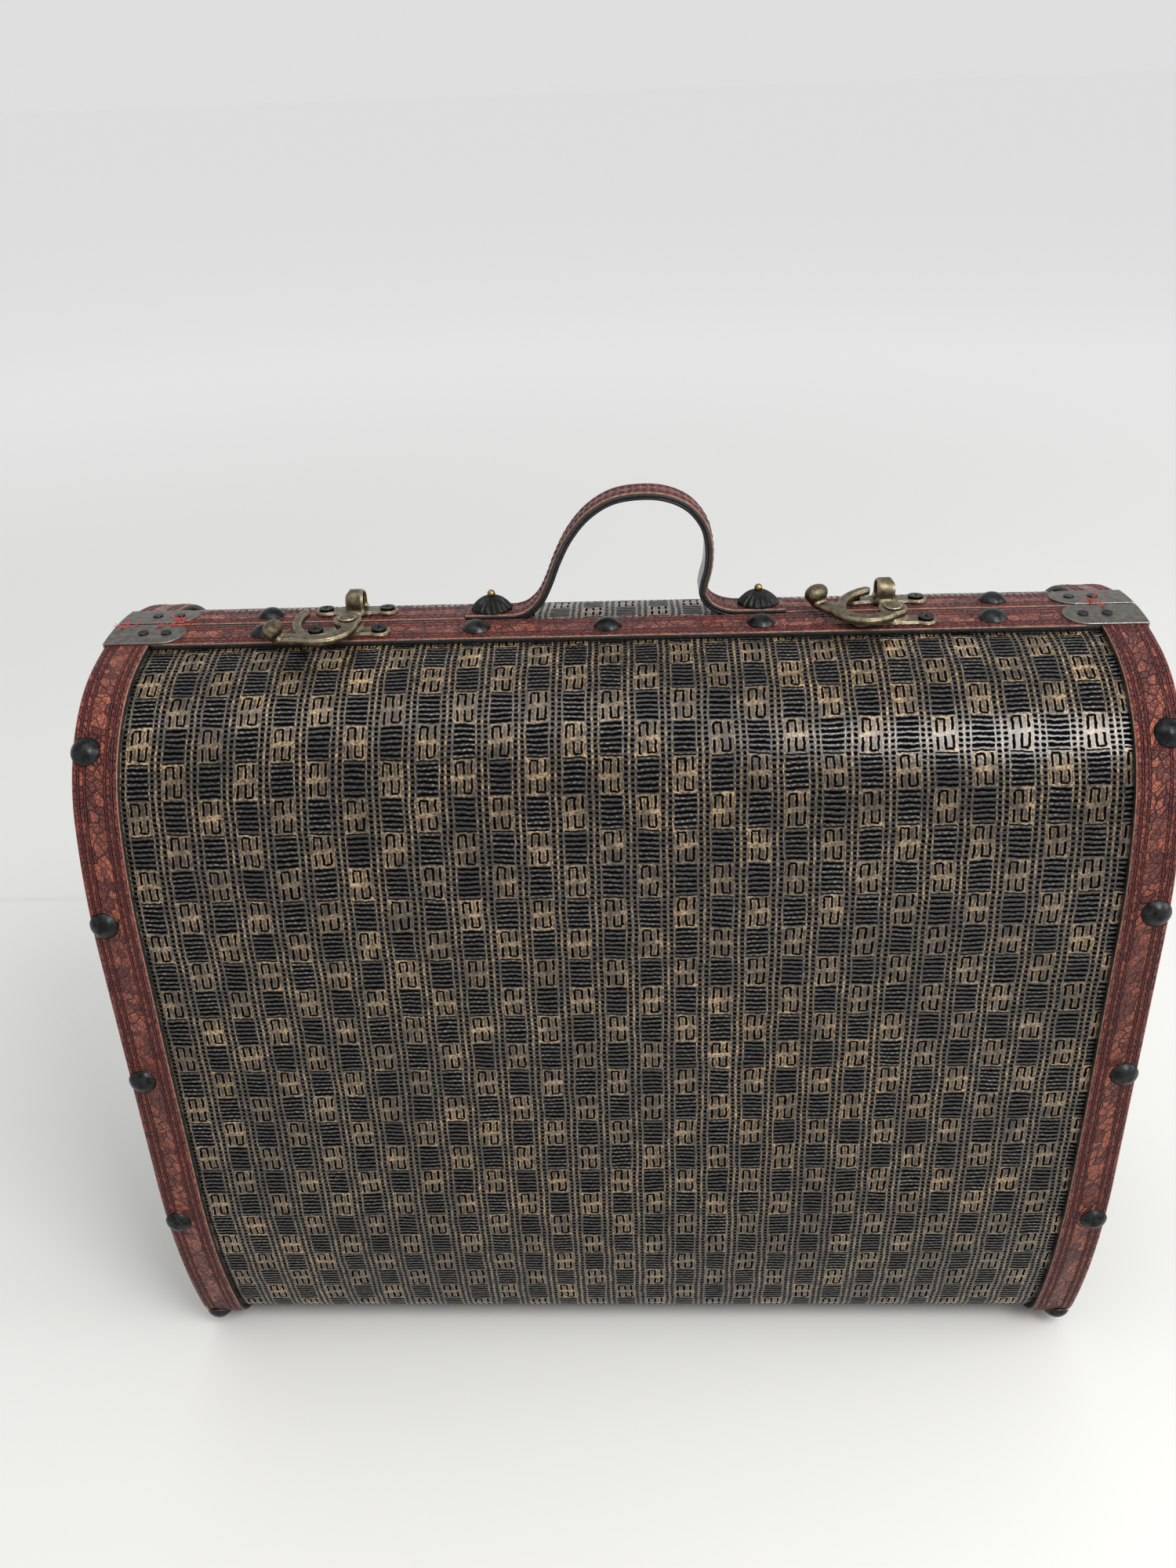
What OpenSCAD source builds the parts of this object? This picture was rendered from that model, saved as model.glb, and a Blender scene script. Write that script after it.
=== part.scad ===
// Vintage clamshell suitcase: two bent-board halves in cloth, red straps, swan-hook latches,
// a strap handle and two butt hinges under the base.
// Front is -Y, up is +Z, the halves meet at y = 0, the strap pads stand on z = 0.

/* [Case] */
// Length over the end covers
case_w = 394; // [320:1:480]
// Depth over the straps of both halves
case_d = 165; // [150:1:200]
// Height from the strap pads to the crown of the rim straps
case_h = 325; // [280:1:380]
// Gap between the two halves
rim_gap = 1.6; // [1:0.1:2.4]

/* [Profile] */
// Radius of the crown over the rim
crown_r = 140; // [120:1:180]
// Radius of the shoulder
shoulder_r = 58; // [45:1:65]
// Radius of the upper cheek
cheek_r = 220; // [180:1:300]
// Height of the cheek's start below the crown
cheek_drop = 99; // [90:1:110]
// Radius of the lower cheek
heel_r = 300; // [240:5:400]
// Height where the lower cheek starts
heel_z = 110; // [90:1:120]
// Radius of the toe under the face
toe_r = 28; // [20:1:36]

/* [Walls] */
// Thickness of the end panels
end_t = 9; // [6:0.5:12]
// Thickness of the bent wrap panels
wrap_t = 3; // [2:0.5:4]
// Thickness of the cover cloth
cover_t = 0.8; // [0.5:0.1:1.2]
// Thickness of the lining
lining_t = 0.6; // [0.4:0.1:1]
// Depth of the battens along the edges
batten_w = 17; // [16:0.5:22]
// Height of the battens
batten_h = 12; // [10:0.5:16]

/* [Straps] */
// Width of the straps
strap_w = 16.8; // [14:0.1:20]
// Thickness of the straps
strap_t = 2.5; // [1.5:0.1:3.5]
// Distance from the halves' joint to the end straps under the base
pad_back = 7; // [5:0.5:12]

/* [Nails] */
// Radius of the nail domes
nail_r = 5.5; // [4:0.1:6]
// Height of the nail domes
nail_h = 3.2; // [2:0.1:3.4]
// Radius of the nail shanks
nail_pin_r = 0.9; // [0.6:0.1:1.2]
// Length of the nail shanks
nail_len = 13; // [11:0.5:15]
// Distance from the end face to the strap nails
nail_inset = 4.8; // [4:0.1:6]
// Lean of the shoulder nail from upright
nail_shoulder_a = 50; // [40:1:60]
// Lean of the toe nail from straight down
nail_toe_a = 50; // [40:1:60]
// Height of the middle nail on the face
nail_face_z = 164; // [130:1:180]
// Rise of the cheek nail on its arc, from level
nail_cheek_a = 3.2; // [2:0.2:8]
// Fall of the heel nail on its arc, from level
nail_heel_a = 4.6; // [3:0.2:8]
// Distance from the left end to the outer nail of the front rim
front_nail_left = 60; // [54:1:62]
// Distance from the right end to the outer nail of the front rim
front_nail_right = 55; // [50:1:60]
// Distance from the left end to the nail of the back rim
back_nail_left = 58.5; // [54:0.5:62]
// Distance from the right end to the nail of the back rim
back_nail_right = 51; // [46:1:58]
// Half distance between the front rim nails beside the handle
inner_nail_x = 54.5; // [48:0.5:60]
// Place of the middle nail on the front rim
mid_nail_x = -4; // [-20:1:20]

/* [Brackets] */
// Thickness of the corner bracket steel
bracket_t = 0.7; // [0.5:0.1:1]
// Length of the bracket along the rim
bracket_len = 29; // [24:0.5:34]
// Length of the flap down the end
flap_len = 17; // [12:0.5:24]
// Distance from the end to the first tack
tack_first = 12.5; // [11:0.5:14]
// Distance between the two tacks
tack_step = 9; // [7:0.5:11]
// Radius of the tack heads
tack_r = 2; // [1.5:0.1:2.5]

/* [Latches] */
// Distance from the case's end to the middle of each latch
latch_inset = 93; // [84:1:102]
// Swing of the left hook from closed, as the case is shown
left_open = 85; // [45:1:90]
// Swing of the right hook from closed, as the case is shown
right_open = 40; // [40:1:90]
// Thickness of the hook plates
hook_plate_t = 2.4; // [2:0.1:3]
// Thickness of the keeper plates
keeper_t = 1.6; // [1.2:0.1:2]
// Distance from the middle of a latch plate to its screws
ear_x = 12.2; // [11:0.1:14]
// Radius of the plate ears
ear_r = 4.3; // [4:0.1:5]
// Thickness of the hooks
hook_t = 2.6; // [2:0.1:3]
// Radius of the hook's eye
eye_r = 5.4; // [4.6:0.1:6]
// Width of the hook's spur
spur_w = 3.4; // [2.6:0.1:3.6]
// Radius of the rivet shanks
rivet_r = 1.9; // [1.5:0.1:2.2]
// Length of the keeper loop along the rim
loop_len = 8; // [6:0.5:9]
// Thickness of the keeper loop
loop_t = 1.3; // [1:0.1:1.6]

/* [Handle] */
// Height of the handle's arch over the cover cloth
handle_h = 46.5; // [38:0.5:60]
// Width of the handle strap
handle_w = 16.4; // [12:0.1:18]
// Thickness of the handle's outer strap
handle_t = 2; // [1.5:0.1:2.5]
// Thickness of the handle's lining strap
handle_lining_t = 1.2; // [0.8:0.1:1.5]
// Half distance between the handle's rosettes
rosette_x = 52.5; // [48:0.5:60]
// Shift of the handle's middle to the right
handle_x = 2.4; // [0:0.1:4]
// Radius of the rosettes
rosette_r = 8.2; // [7:0.1:9]
// Height of the rosettes
rosette_h = 5.2; // [4:0.1:6]

/* [Hinges] */
// Distance from the case's end to the middle of each hinge
hinge_inset = 79; // [60:1:110]
// Length of each hinge
hinge_len = 36; // [28:1:50]
// Width of each hinge leaf
leaf_w = 15; // [13:0.5:16]
// Thickness of the hinge leaves
leaf_t = 1; // [0.8:0.1:1.2]
// Radius of the hinge barrels
barrel_r = 2.2; // [2:0.1:2.3]
// Radius of the hinge pins
pin_r = 1.2; // [1:0.1:1.3]

/* [Fits] */
// Radial clearance of turning fits and driven shanks
fit = 0.05; // [0.02:0.01:0.1]
// Clearance between pieces that slide past each other
slide = 0.3; // [0.25:0.05:0.5]

/* [Hidden] */
$fn = 72;
eps = 0.01;
half_w = case_w / 2;
half_d = case_d / 2;
joint = rim_gap / 2;
cover_off = -strap_t;
wrap_off = cover_off - cover_t;
inner_off = wrap_off - wrap_t;
board_w = half_w - cover_t;
inner_w = board_w - end_t;
rim_mid = joint + strap_w / 2;
crown_c = [0, case_h - crown_r];
cheek_c = [cheek_r - half_d, case_h - cheek_drop];
heel_c = [heel_r - half_d, heel_z];
toe_c = [heel_c[0] - sqrt(pow(heel_r - toe_r, 2) - pow(heel_z - toe_r, 2)), toe_r];
shoulder_c = meeting(crown_c, crown_r - shoulder_r, cheek_c, cheek_r - shoulder_r);
crown_a = bearing(shoulder_c - crown_c);
cheek_a = bearing(shoulder_c - cheek_c);
heel_a = bearing(toe_c - heel_c);
chord_err = 0.03;
nail_ball = (nail_r * nail_r + nail_h * nail_h) / (2 * nail_h);
strap_nails = [
    [shoulder_c, shoulder_r, 90 + nail_shoulder_a],
    [cheek_c, cheek_r, 180 - nail_cheek_a],
    [[0, nail_face_z], half_d, 180],
    [heel_c, heel_r, 180 + nail_heel_a],
    [toe_c, toe_r, 270 - nail_toe_a]
];
front_rim_nails_x = [
    front_nail_left - half_w, -inner_nail_x, mid_nail_x, inner_nail_x, half_w - front_nail_right
];
back_rim_nails_x = [back_nail_left - half_w, half_w - back_nail_right];
latch_x = half_w - latch_inset;
hinge_x = half_w - hinge_inset;
screw_r = 2.9;
screw_h = 1.1;
screw_pin_r = 1.2;
screw_len = 17;
spur_room = 2;
spur_tip_a = 73;
spur_root_a = 142;
swan_c = [-6, 9];
swan_r = 11.5;
swan_w = 5.2;
thumb_x = -16.6;
thumb_w = 5.2;
thumb_y0 = 11;
thumb_y1 = 21;
thumb_bend = 3.4;
thumb_rise = 75;
roll_r = 3;
roll_len = 9.4;
hook_z = hook_plate_t + slide;
hook_ear_t = hook_plate_t - screw_h;
spur_r = 2 * rim_mid * (1 + (hook_z + hook_t / 2) / crown_r) + slide;
rivet_head_r = 3.6;
rivet_head_h = 0.8;
plate_ears_y = -2.4;
loop_in = spur_w / 2 + spur_room;
loop_clear = hook_z + hook_t + spur_r * spur_r / (2 * crown_r) + spur_room;
loop_top = loop_clear + loop_t;
hinge_z = barrel_r + 0.2;
leaf_edge = barrel_r + 0.5;
knuckle = hinge_len / 3;
leaf_screw_x = hinge_len / 3;
leaf_screw_y = leaf_w * 0.62;
leaf_screw_r = 2.3;
leaf_screw_h = 0.9;
leaf_pin_r = 1;
leaf_pin_len = 13;
lid_spans = [[slide / 2 - knuckle / 2, knuckle / 2 - slide / 2]];
base_spans = [[-hinge_len / 2, -knuckle / 2 - slide / 2], [knuckle / 2 + slide / 2, hinge_len / 2]];
tack_h = 0.5;
tack_pin_r = 0.7;
tack_len = 14;
flap_tack_len = 8;
cross_w = 0.9;
cross_l = 3.6;
rivet_ball = (rivet_head_r * rivet_head_r + rivet_head_h * rivet_head_h) / (2 * rivet_head_h);
rosette_ball = (rosette_r * rosette_r + rosette_h * rosette_h) / (2 * rosette_h);
rosette_flutes = 12;
flute_r = 1.5;
rosette_pin_r = 1.2;
rosette_pin_len = 16;
rosette_bead_r = 1.6;
handle_tabs = handle_t + handle_lining_t;
rosette_z = handle_tabs - strap_t + 2 * fit;
handle_path = [
    [-1.19, 0], [-1.0, 0], [-0.9, 0], [-0.8, 0.005], [-0.7, 0.045], [-0.6, 0.15], [-0.525, 0.31],
    [-0.46, 0.49], [-0.37, 0.68], [-0.24, 0.85], [-0.07, 0.965], [0.13, 1], [0.31, 0.98], [0.46, 0.9],
    [0.56, 0.76], [0.595, 0.6], [0.59, 0.43], [0.56, 0.29], [0.555, 0.19], [0.61, 0.09], [0.7, 0.03],
    [0.8, 0.003], [0.9, 0], [1.0, 0], [1.19, 0]
];
handle_steps = 4;
handle_line = smooth(handle_path, handle_steps);
handle_end = handle_path[len(handle_path) - 1][0] * rosette_x + fit;
cloth = [0.16, 0.15, 0.15];
red = [0.48, 0.2, 0.16];
board = [0.72, 0.58, 0.42];
bronze = [0.42, 0.36, 0.24];
gunmetal = [0.2, 0.21, 0.22];
brass = [0.7, 0.55, 0.28];
paper = [0.6, 0.55, 0.47];

function unit(v) = v / norm(v);

// Upper front point at distance ra from a and rb from b.
function meeting(a, ra, b, rb) =
    let (d = norm(b - a), u = (b - a) / d, k = (ra * ra - rb * rb + d * d) / (2 * d))
    a + k * u + sqrt(ra * ra - k * k) * [-u[1], u[0]];

function ray(a) = [cos(a), sin(a)];

function bearing(v) = atan2(v[1], v[0]) + (v[1] < 0 ? 360 : 0);

// Points of an arc after its first, at the same bearings for every layer, so that layers seat on each other.
function arc(c, r, off, a0, a1) =
    let (n = ceil((a1 - a0) / (2 * acos(1 - chord_err / r))))
    [for (k = [1 : n]) c + (r + off) * ray(a0 + (a1 - a0) * k / n)];

// Catmull-Rom point between p1 and p2.
function between(p0, p1, p2, p3, t) =
    0.5 * (2 * p1 + (p2 - p0) * t + (2 * p0 - 5 * p1 + 4 * p2 - p3) * t * t
    + (3 * p1 - p0 - 3 * p2 + p3) * t * t * t);

function smooth(p, n) = [
    for (i = [0 : len(p) - 2], k = [0 : n - 1])
        between(p[max(i - 1, 0)], p[i], p[i + 1], p[min(i + 2, len(p) - 1)], k / n),
    p[len(p) - 1]
];

function line_at(i) = [handle_line[i][0] * rosette_x, handle_line[i][1] * handle_h];

function line_side(i) =
    let (a = line_at(max(i - 1, 0)), b = line_at(min(i + 1, len(handle_line) - 1)), d = unit(b - a))
    [-d[1], d[0]];

function strap_side(off) = [for (i = [0 : len(handle_line) - 1]) line_at(i) + off * line_side(i)];

function turned(p) = [for (i = [len(p) - 1 : -1 : 0]) p[i]];

// Front half profile, moved out from the strap surface by off; x is depth, y is height.
module half_area(off) {
    intersection() {
        polygon(concat(
            [[0, -off], [0, case_h + off]],
            arc(crown_c, crown_r, off, 90, crown_a),
            arc(shoulder_c, shoulder_r, off, crown_a, cheek_a),
            arc(cheek_c, cheek_r, off, cheek_a, 180),
            arc(heel_c, heel_r, off, 180, heel_a),
            arc(toe_c, toe_r, off, heel_a, 270)
        ));
        translate([-case_d, -case_h]) square([case_d - joint, 3 * case_h]);
    }
}

module band(off, t) {
    difference() {
        half_area(off + t);
        half_area(off);
    }
}

// Strip of the profile next to the halves' joint, from height z0 to z1.
module edge_strip(w, z0, z1) {
    translate([-joint - w, z0]) square([w + joint, z1 - z0]);
}

module along(x0, x1) {
    translate([x0, 0, 0]) rotate([90, 0, 90]) linear_extrude(x1 - x0) children();
}

module back() {
    mirror([0, 1, 0]) children();
}

// Frame on the crown at arc s from the joint, front positive.
module on_rim(x, s) {
    lean = s / crown_r * 180 / PI;
    translate([x, 0, crown_c[1]]) rotate([lean, 0, 0]) translate([0, 0, crown_r]) children();
}

module at_strap_nails(side) {
    for (n = strap_nails)
        translate([side * (half_w - nail_inset), n[0][0], n[0][1]])
            rotate([n[2] - 90, 0, 0]) translate([0, 0, n[1]]) children();
}

module nail() {
    rotate_extrude() {
        intersection() {
            translate([0, nail_h - nail_ball]) circle(nail_ball);
            square([nail_r, nail_h]);
        }
        translate([0, -nail_len]) square([nail_pin_r, nail_len + eps]);
    }
}

module bore(r, depth) {
    translate([0, 0, -depth - slide]) cylinder(r = r + fit, h = depth + 3 * strap_t);
}

module tack(depth) {
    cylinder(r = tack_r, h = tack_h);
    translate([0, 0, -depth]) cylinder(r = tack_pin_r, h = depth + eps);
}

module cross_screw() {
    difference() {
        cylinder(r = screw_r, h = screw_h);
        for (a = [0, 90])
            rotate(a) translate([-cross_l / 2, -cross_w / 2, screw_h / 2]) cube([cross_l, cross_w, screw_h]);
    }
    translate([0, 0, -screw_len]) cylinder(r = screw_pin_r, h = screw_len + eps);
}

module at_rim_nails(xs, s) {
    for (x = xs) on_rim(x, s) children();
}

module at_rim_tacks(s) {
    for (side = [-1, 1], k = [0, 1])
        on_rim(side * (half_w - tack_first - k * tack_step), s) translate([0, 0, bracket_t]) children();
}

module at_flap_tacks() {
    for (side = [-1, 1])
        translate([side * (half_w + bracket_t), -rim_mid, case_h - flap_len + strap_w / 2])
            rotate([0, side * 90, 0]) children();
}

module at_hook_screws() {
    for (side = [-1, 1], e = [-1, 1])
        on_rim(side * latch_x, rim_mid) translate([e * ear_x, plate_ears_y, hook_ear_t]) children();
}

module at_keeper_screws() {
    for (side = [-1, 1], e = [-1, 1])
        on_rim(side * latch_x, -rim_mid) translate([e * ear_x, 0, keeper_t]) children();
}

module at_rosettes() {
    for (side = [-1, 1])
        on_rim(handle_x + side * rosette_x, -rim_mid) translate([0, 0, rosette_z]) children();
}

module at_leaf_screws() {
    for (side = [-1, 1], e = [-1, 1])
        translate([side * hinge_x + e * leaf_screw_x, -leaf_edge - leaf_screw_y, strap_t - leaf_t])
            mirror([0, 0, 1]) children();
}

module hinge_notches() {
    for (side = [-1, 1])
        translate([side * hinge_x - hinge_len / 2 - 2 * leaf_t, -leaf_edge, -eps])
            cube([hinge_len + 4 * leaf_t, 2 * leaf_edge, hinge_z + leaf_edge]);
}

// Everything driven into the front half.
module front_bores() {
    for (side = [-1, 1]) at_strap_nails(side) bore(nail_pin_r, nail_len);
    at_rim_nails(front_rim_nails_x, rim_mid) bore(nail_pin_r, nail_len);
    at_rim_tacks(rim_mid) bore(tack_pin_r, tack_len);
    at_flap_tacks() bore(tack_pin_r, flap_tack_len);
    at_hook_screws() bore(screw_pin_r, screw_len);
    at_leaf_screws() bore(leaf_pin_r, leaf_pin_len);
}

// Everything driven into the back half.
module back_bores() {
    back() {
        for (side = [-1, 1]) at_strap_nails(side) bore(nail_pin_r, nail_len);
        at_rim_tacks(rim_mid) bore(tack_pin_r, tack_len);
        at_flap_tacks() bore(tack_pin_r, flap_tack_len);
        at_leaf_screws() bore(leaf_pin_r, leaf_pin_len);
    }
    at_rim_nails(back_rim_nails_x, -rim_mid) bore(nail_pin_r, nail_len);
    at_keeper_screws() bore(screw_pin_r, screw_len);
    at_rosettes() bore(rosette_pin_r, rosette_pin_len);
}

module end_panel(side) {
    along(side < 0 ? -board_w : inner_w, side < 0 ? -inner_w : board_w) half_area(inner_off);
}

module wrap_panel() {
    difference() {
        along(-board_w, board_w) band(inner_off, wrap_t);
        hinge_notches();
    }
}

module wrap_cover() {
    difference() {
        along(-board_w, board_w) band(wrap_off, cover_t);
        hinge_notches();
    }
}

module end_cover(side) {
    along(side < 0 ? -half_w : board_w, side < 0 ? -board_w : half_w) half_area(cover_off);
}

module rim_area() {
    edge_strip(strap_w, case_h / 2, 2 * case_h);
}

module end_strap(side) {
    along(side < 0 ? -half_w : half_w - strap_w, side < 0 ? strap_w - half_w : half_w)
        difference() {
            band(cover_off, strap_t);
            translate([-pad_back, -strap_t]) square([2 * pad_back, 3 * strap_t]);
        }
}

module rim_strap() {
    along(strap_w - half_w, half_w - strap_w)
        intersection() {
            band(cover_off, strap_t);
            rim_area();
        }
}

module rim_batten() {
    along(-inner_w, inner_w)
        intersection() {
            half_area(inner_off);
            edge_strip(batten_w, case_h + inner_off - batten_h, case_h);
        }
}

module hinge_batten() {
    along(-inner_w, inner_w)
        intersection() {
            half_area(inner_off);
            edge_strip(batten_w, 0, batten_h - inner_off);
        }
}

// Inside of a half, clear of the battens by off.
module hollow_area(off) {
    difference() {
        half_area(inner_off - off);
        edge_strip(batten_w + off, case_h + inner_off - batten_h - off, 2 * case_h);
        edge_strip(batten_w + off, -case_h, batten_h - inner_off + off);
    }
}

module lining() {
    difference() {
        along(-inner_w, inner_w) hollow_area(0);
        along(lining_t - inner_w, inner_w - lining_t) hollow_area(lining_t);
    }
}

// Right front bracket: a tongue along the rim and a flap down the end.
module bracket() {
    tongue_x = half_w - bracket_len + strap_w / 2;
    flap_z = case_h - flap_len + strap_w / 2;
    intersection() {
        along(half_w - bracket_len, half_w + bracket_t)
            intersection() {
                band(0, bracket_t);
                rim_area();
            }
        translate([0, 0, case_h / 2]) linear_extrude(case_h) {
            translate([tongue_x, -joint - strap_w]) square([half_w + 1 - tongue_x, strap_w]);
            translate([tongue_x, -rim_mid]) circle(strap_w / 2);
        }
    }
    along(half_w, half_w + bracket_t)
        intersection() {
            half_area(bracket_t);
            union() {
                edge_strip(strap_w, flap_z, 2 * case_h);
                translate([-rim_mid, flap_z]) circle(strap_w / 2);
            }
        }
}

module plate_plan(ears_y) {
    for (e = [-1, 1]) translate([e * ear_x, ears_y]) circle(ear_r);
    translate([-ear_x, ears_y - ear_r + 1]) square([2 * ear_x, 2 * ear_r - 2]);
    circle(eye_r + 0.8);
}

// Plate with thin ears for the screws and a raised boss for the hook's eye.
module hook_plate(side) {
    on_rim(side * latch_x, rim_mid)
        difference() {
            union() {
                linear_extrude(hook_ear_t) plate_plan(plate_ears_y);
                cylinder(r = eye_r, h = hook_plate_t);
            }
            translate([0, 0, -1]) cylinder(r = rivet_r + fit, h = hook_plate_t + 2);
            for (e = [-1, 1])
                translate([e * ear_x, plate_ears_y, -1])
                    cylinder(r = screw_pin_r + fit, h = hook_plate_t + 2);
        }
}

module wedge(a0, a1, r) {
    polygon([[0, 0], for (k = [0 : 4]) r * ray(a0 + (a1 - a0) * k / 4)]);
}

module ring_part(r, w, a0, a1) {
    intersection() {
        difference() {
            circle(r + w / 2);
            circle(r - w / 2);
        }
        wedge(a0, a1, 2 * r);
    }
}

// Closed hook about its rivet: eye, swan neck, spur on an arc about the rivet, thumb with a roll.
module hook_body() {
    linear_extrude(hook_t)
        difference() {
            union() {
                circle(eye_r);
                translate(swan_c) ring_part(swan_r, swan_w, 150, 300);
                ring_part(spur_r, spur_w, spur_tip_a, spur_root_a);
                translate(spur_r * ray(spur_tip_a)) circle(spur_w / 2);
                translate([thumb_x - thumb_w / 2, thumb_y0]) square([thumb_w, thumb_y1 - thumb_y0]);
            }
            circle(rivet_r + fit);
        }
    bend_c = [thumb_y1, hook_t + thumb_bend];
    translate([thumb_x - thumb_w / 2, 0, 0]) rotate([90, 0, 90]) linear_extrude(thumb_w)
        translate(bend_c) ring_part(thumb_bend + hook_t / 2, hook_t, -90, thumb_rise - 90);
    roll_c = bend_c + (thumb_bend + hook_t - roll_r) * ray(thumb_rise - 90);
    translate([thumb_x - roll_len / 2, roll_c[0], roll_c[1]])
        rotate([0, 90, 0]) cylinder(r = roll_r, h = roll_len);
}

module hook(side, open) {
    on_rim(side * latch_x, rim_mid) translate([0, 0, hook_z]) rotate(open) hook_body();
}

module rivet(side) {
    on_rim(side * latch_x, rim_mid) {
        cylinder(r = rivet_r, h = hook_z + hook_t + slide + eps);
        translate([0, 0, hook_z + hook_t + slide])
            rotate_extrude() intersection() {
                translate([0, rivet_head_h - rivet_ball]) circle(rivet_ball);
                square([rivet_head_r, rivet_head_h]);
            }
    }
}

module loop_area(w, top, low) {
    translate([-w, low]) square([2 * w, top - w - low]);
    translate([0, top - w]) circle(w);
}

module keeper(side) {
    on_rim(side * latch_x, -rim_mid) {
        linear_extrude(keeper_t)
            difference() {
                plate_plan(0);
                for (e = [-1, 1]) translate([e * ear_x, 0]) circle(screw_pin_r + fit);
            }
        translate([-loop_len / 2, 0, 0]) rotate([90, 0, 90]) linear_extrude(loop_len)
            difference() {
                loop_area(loop_in + loop_t, loop_top, keeper_t / 2);
                loop_area(loop_in, loop_clear, keeper_t);
            }
    }
}

module strap_run(low, high) {
    difference() {
        on_rim(handle_x, -rim_mid)
            translate([0, 0, fit - strap_t]) rotate([90, 0, 0]) linear_extrude(handle_w, center = true)
                polygon(concat(strap_side(low), turned(strap_side(high))));
        at_rosettes() bore(rosette_pin_r, rosette_pin_len);
    }
}

module rosette() {
    difference() {
        rotate_extrude() intersection() {
            translate([0, rosette_h - rosette_ball]) circle(rosette_ball);
            square([rosette_r, rosette_h]);
        }
        for (k = [0 : rosette_flutes - 1])
            rotate(k * 360 / rosette_flutes)
                translate([rosette_r + flute_r / 3, 0, -1]) cylinder(r = flute_r, h = 2 * rosette_h);
        bore(rosette_pin_r, rosette_h);
        cylinder(r = rosette_pin_r + fit, h = 2 * rosette_h);
    }
}

module rosette_pin() {
    seat_r = rosette_pin_r + fit;
    seat = sqrt(rosette_bead_r * rosette_bead_r - seat_r * seat_r);
    translate([0, 0, rosette_h + seat]) sphere(rosette_bead_r);
    translate([0, 0, -rosette_pin_len]) cylinder(r = rosette_pin_r, h = rosette_pin_len + rosette_h);
}

module knuckle_ring(x0, x1) {
    translate([x0, 0, hinge_z]) rotate([0, 90, 0]) cylinder(r = barrel_r, h = x1 - x0);
    translate([x0, -leaf_edge - eps, strap_t - leaf_t]) cube([x1 - x0, leaf_edge - pin_r, leaf_t]);
}

module leaf(side, spans) {
    translate([side * hinge_x, 0, 0])
        difference() {
            union() {
                translate([-hinge_len / 2, -leaf_edge - leaf_w, strap_t - leaf_t])
                    cube([hinge_len, leaf_w, leaf_t]);
                for (s = spans) knuckle_ring(s[0], s[1]);
            }
            translate([-hinge_len, 0, hinge_z])
                rotate([0, 90, 0]) cylinder(r = pin_r + fit, h = 2 * hinge_len);
            for (e = [-1, 1])
                translate([e * leaf_screw_x, -leaf_edge - leaf_screw_y, 0])
                    cylinder(r = leaf_pin_r + fit, h = 2 * strap_t);
        }
}

module hinge_pin(side) {
    translate([side * hinge_x, 0, hinge_z]) rotate([0, 90, 0]) {
        cylinder(r = pin_r, h = hinge_len + 2 * leaf_t, center = true);
        for (e = [-1, 1])
            translate([0, 0, e * (hinge_len / 2 + leaf_t * 0.6)])
                cylinder(r = barrel_r - slide, h = leaf_t * 0.8, center = true);
    }
}

module leaf_screw() {
    cylinder(r = leaf_screw_r, h = leaf_screw_h);
    translate([0, 0, -leaf_pin_len]) cylinder(r = leaf_pin_r, h = leaf_pin_len + eps);
}

module front_left_end_panel() {
    color(board)
        difference() {
            end_panel(-1);
            front_bores();
        }
}

module front_right_end_panel() {
    color(board)
        difference() {
            end_panel(1);
            front_bores();
        }
}

module front_wrap_panel() {
    color(board)
        difference() {
            wrap_panel();
            front_bores();
        }
}

module front_wrap_cover() {
    color(cloth)
        difference() {
            wrap_cover();
            front_bores();
        }
}

module front_left_end_cover() {
    color(cloth)
        difference() {
            end_cover(-1);
            front_bores();
        }
}

module front_left_strap() {
    color(red)
        difference() {
            end_strap(-1);
            front_bores();
        }
}

module front_right_end_cover() {
    color(cloth)
        difference() {
            end_cover(1);
            front_bores();
        }
}

module front_right_strap() {
    color(red)
        difference() {
            end_strap(1);
            front_bores();
        }
}

module front_rim_strap() {
    color(red)
        difference() {
            rim_strap();
            front_bores();
        }
}

module front_rim_batten() {
    color(board)
        difference() {
            rim_batten();
            front_bores();
        }
}

module front_hinge_batten() {
    color(board)
        difference() {
            hinge_batten();
            front_bores();
        }
}

module front_lining() {
    color(paper)
        lining();
}

module front_left_bracket() {
    color(gunmetal)
        difference() {
            mirror([1, 0, 0]) bracket();
            front_bores();
        }
}

module front_right_bracket() {
    color(gunmetal)
        difference() {
            bracket();
            front_bores();
        }
}

module front_bracket_tacks() {
    color(gunmetal)
        union() {
            at_rim_tacks(rim_mid) tack(tack_len);
            at_flap_tacks() tack(flap_tack_len);
        }
}

module front_strap_nails() {
    color(gunmetal)
        for (side = [-1, 1]) at_strap_nails(side) nail();
}

module front_rim_nails() {
    color(gunmetal)
        at_rim_nails(front_rim_nails_x, rim_mid) nail();
}

module back_left_end_panel() {
    color(board)
        difference() {
            back() end_panel(-1);
            back_bores();
        }
}

module back_right_end_panel() {
    color(board)
        difference() {
            back() end_panel(1);
            back_bores();
        }
}

module back_wrap_panel() {
    color(board)
        difference() {
            back() wrap_panel();
            back_bores();
        }
}

module back_wrap_cover() {
    color(cloth)
        difference() {
            back() wrap_cover();
            back_bores();
        }
}

module back_left_end_cover() {
    color(cloth)
        difference() {
            back() end_cover(-1);
            back_bores();
        }
}

module back_left_strap() {
    color(red)
        difference() {
            back() end_strap(-1);
            back_bores();
        }
}

module back_right_end_cover() {
    color(cloth)
        difference() {
            back() end_cover(1);
            back_bores();
        }
}

module back_right_strap() {
    color(red)
        difference() {
            back() end_strap(1);
            back_bores();
        }
}

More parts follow.
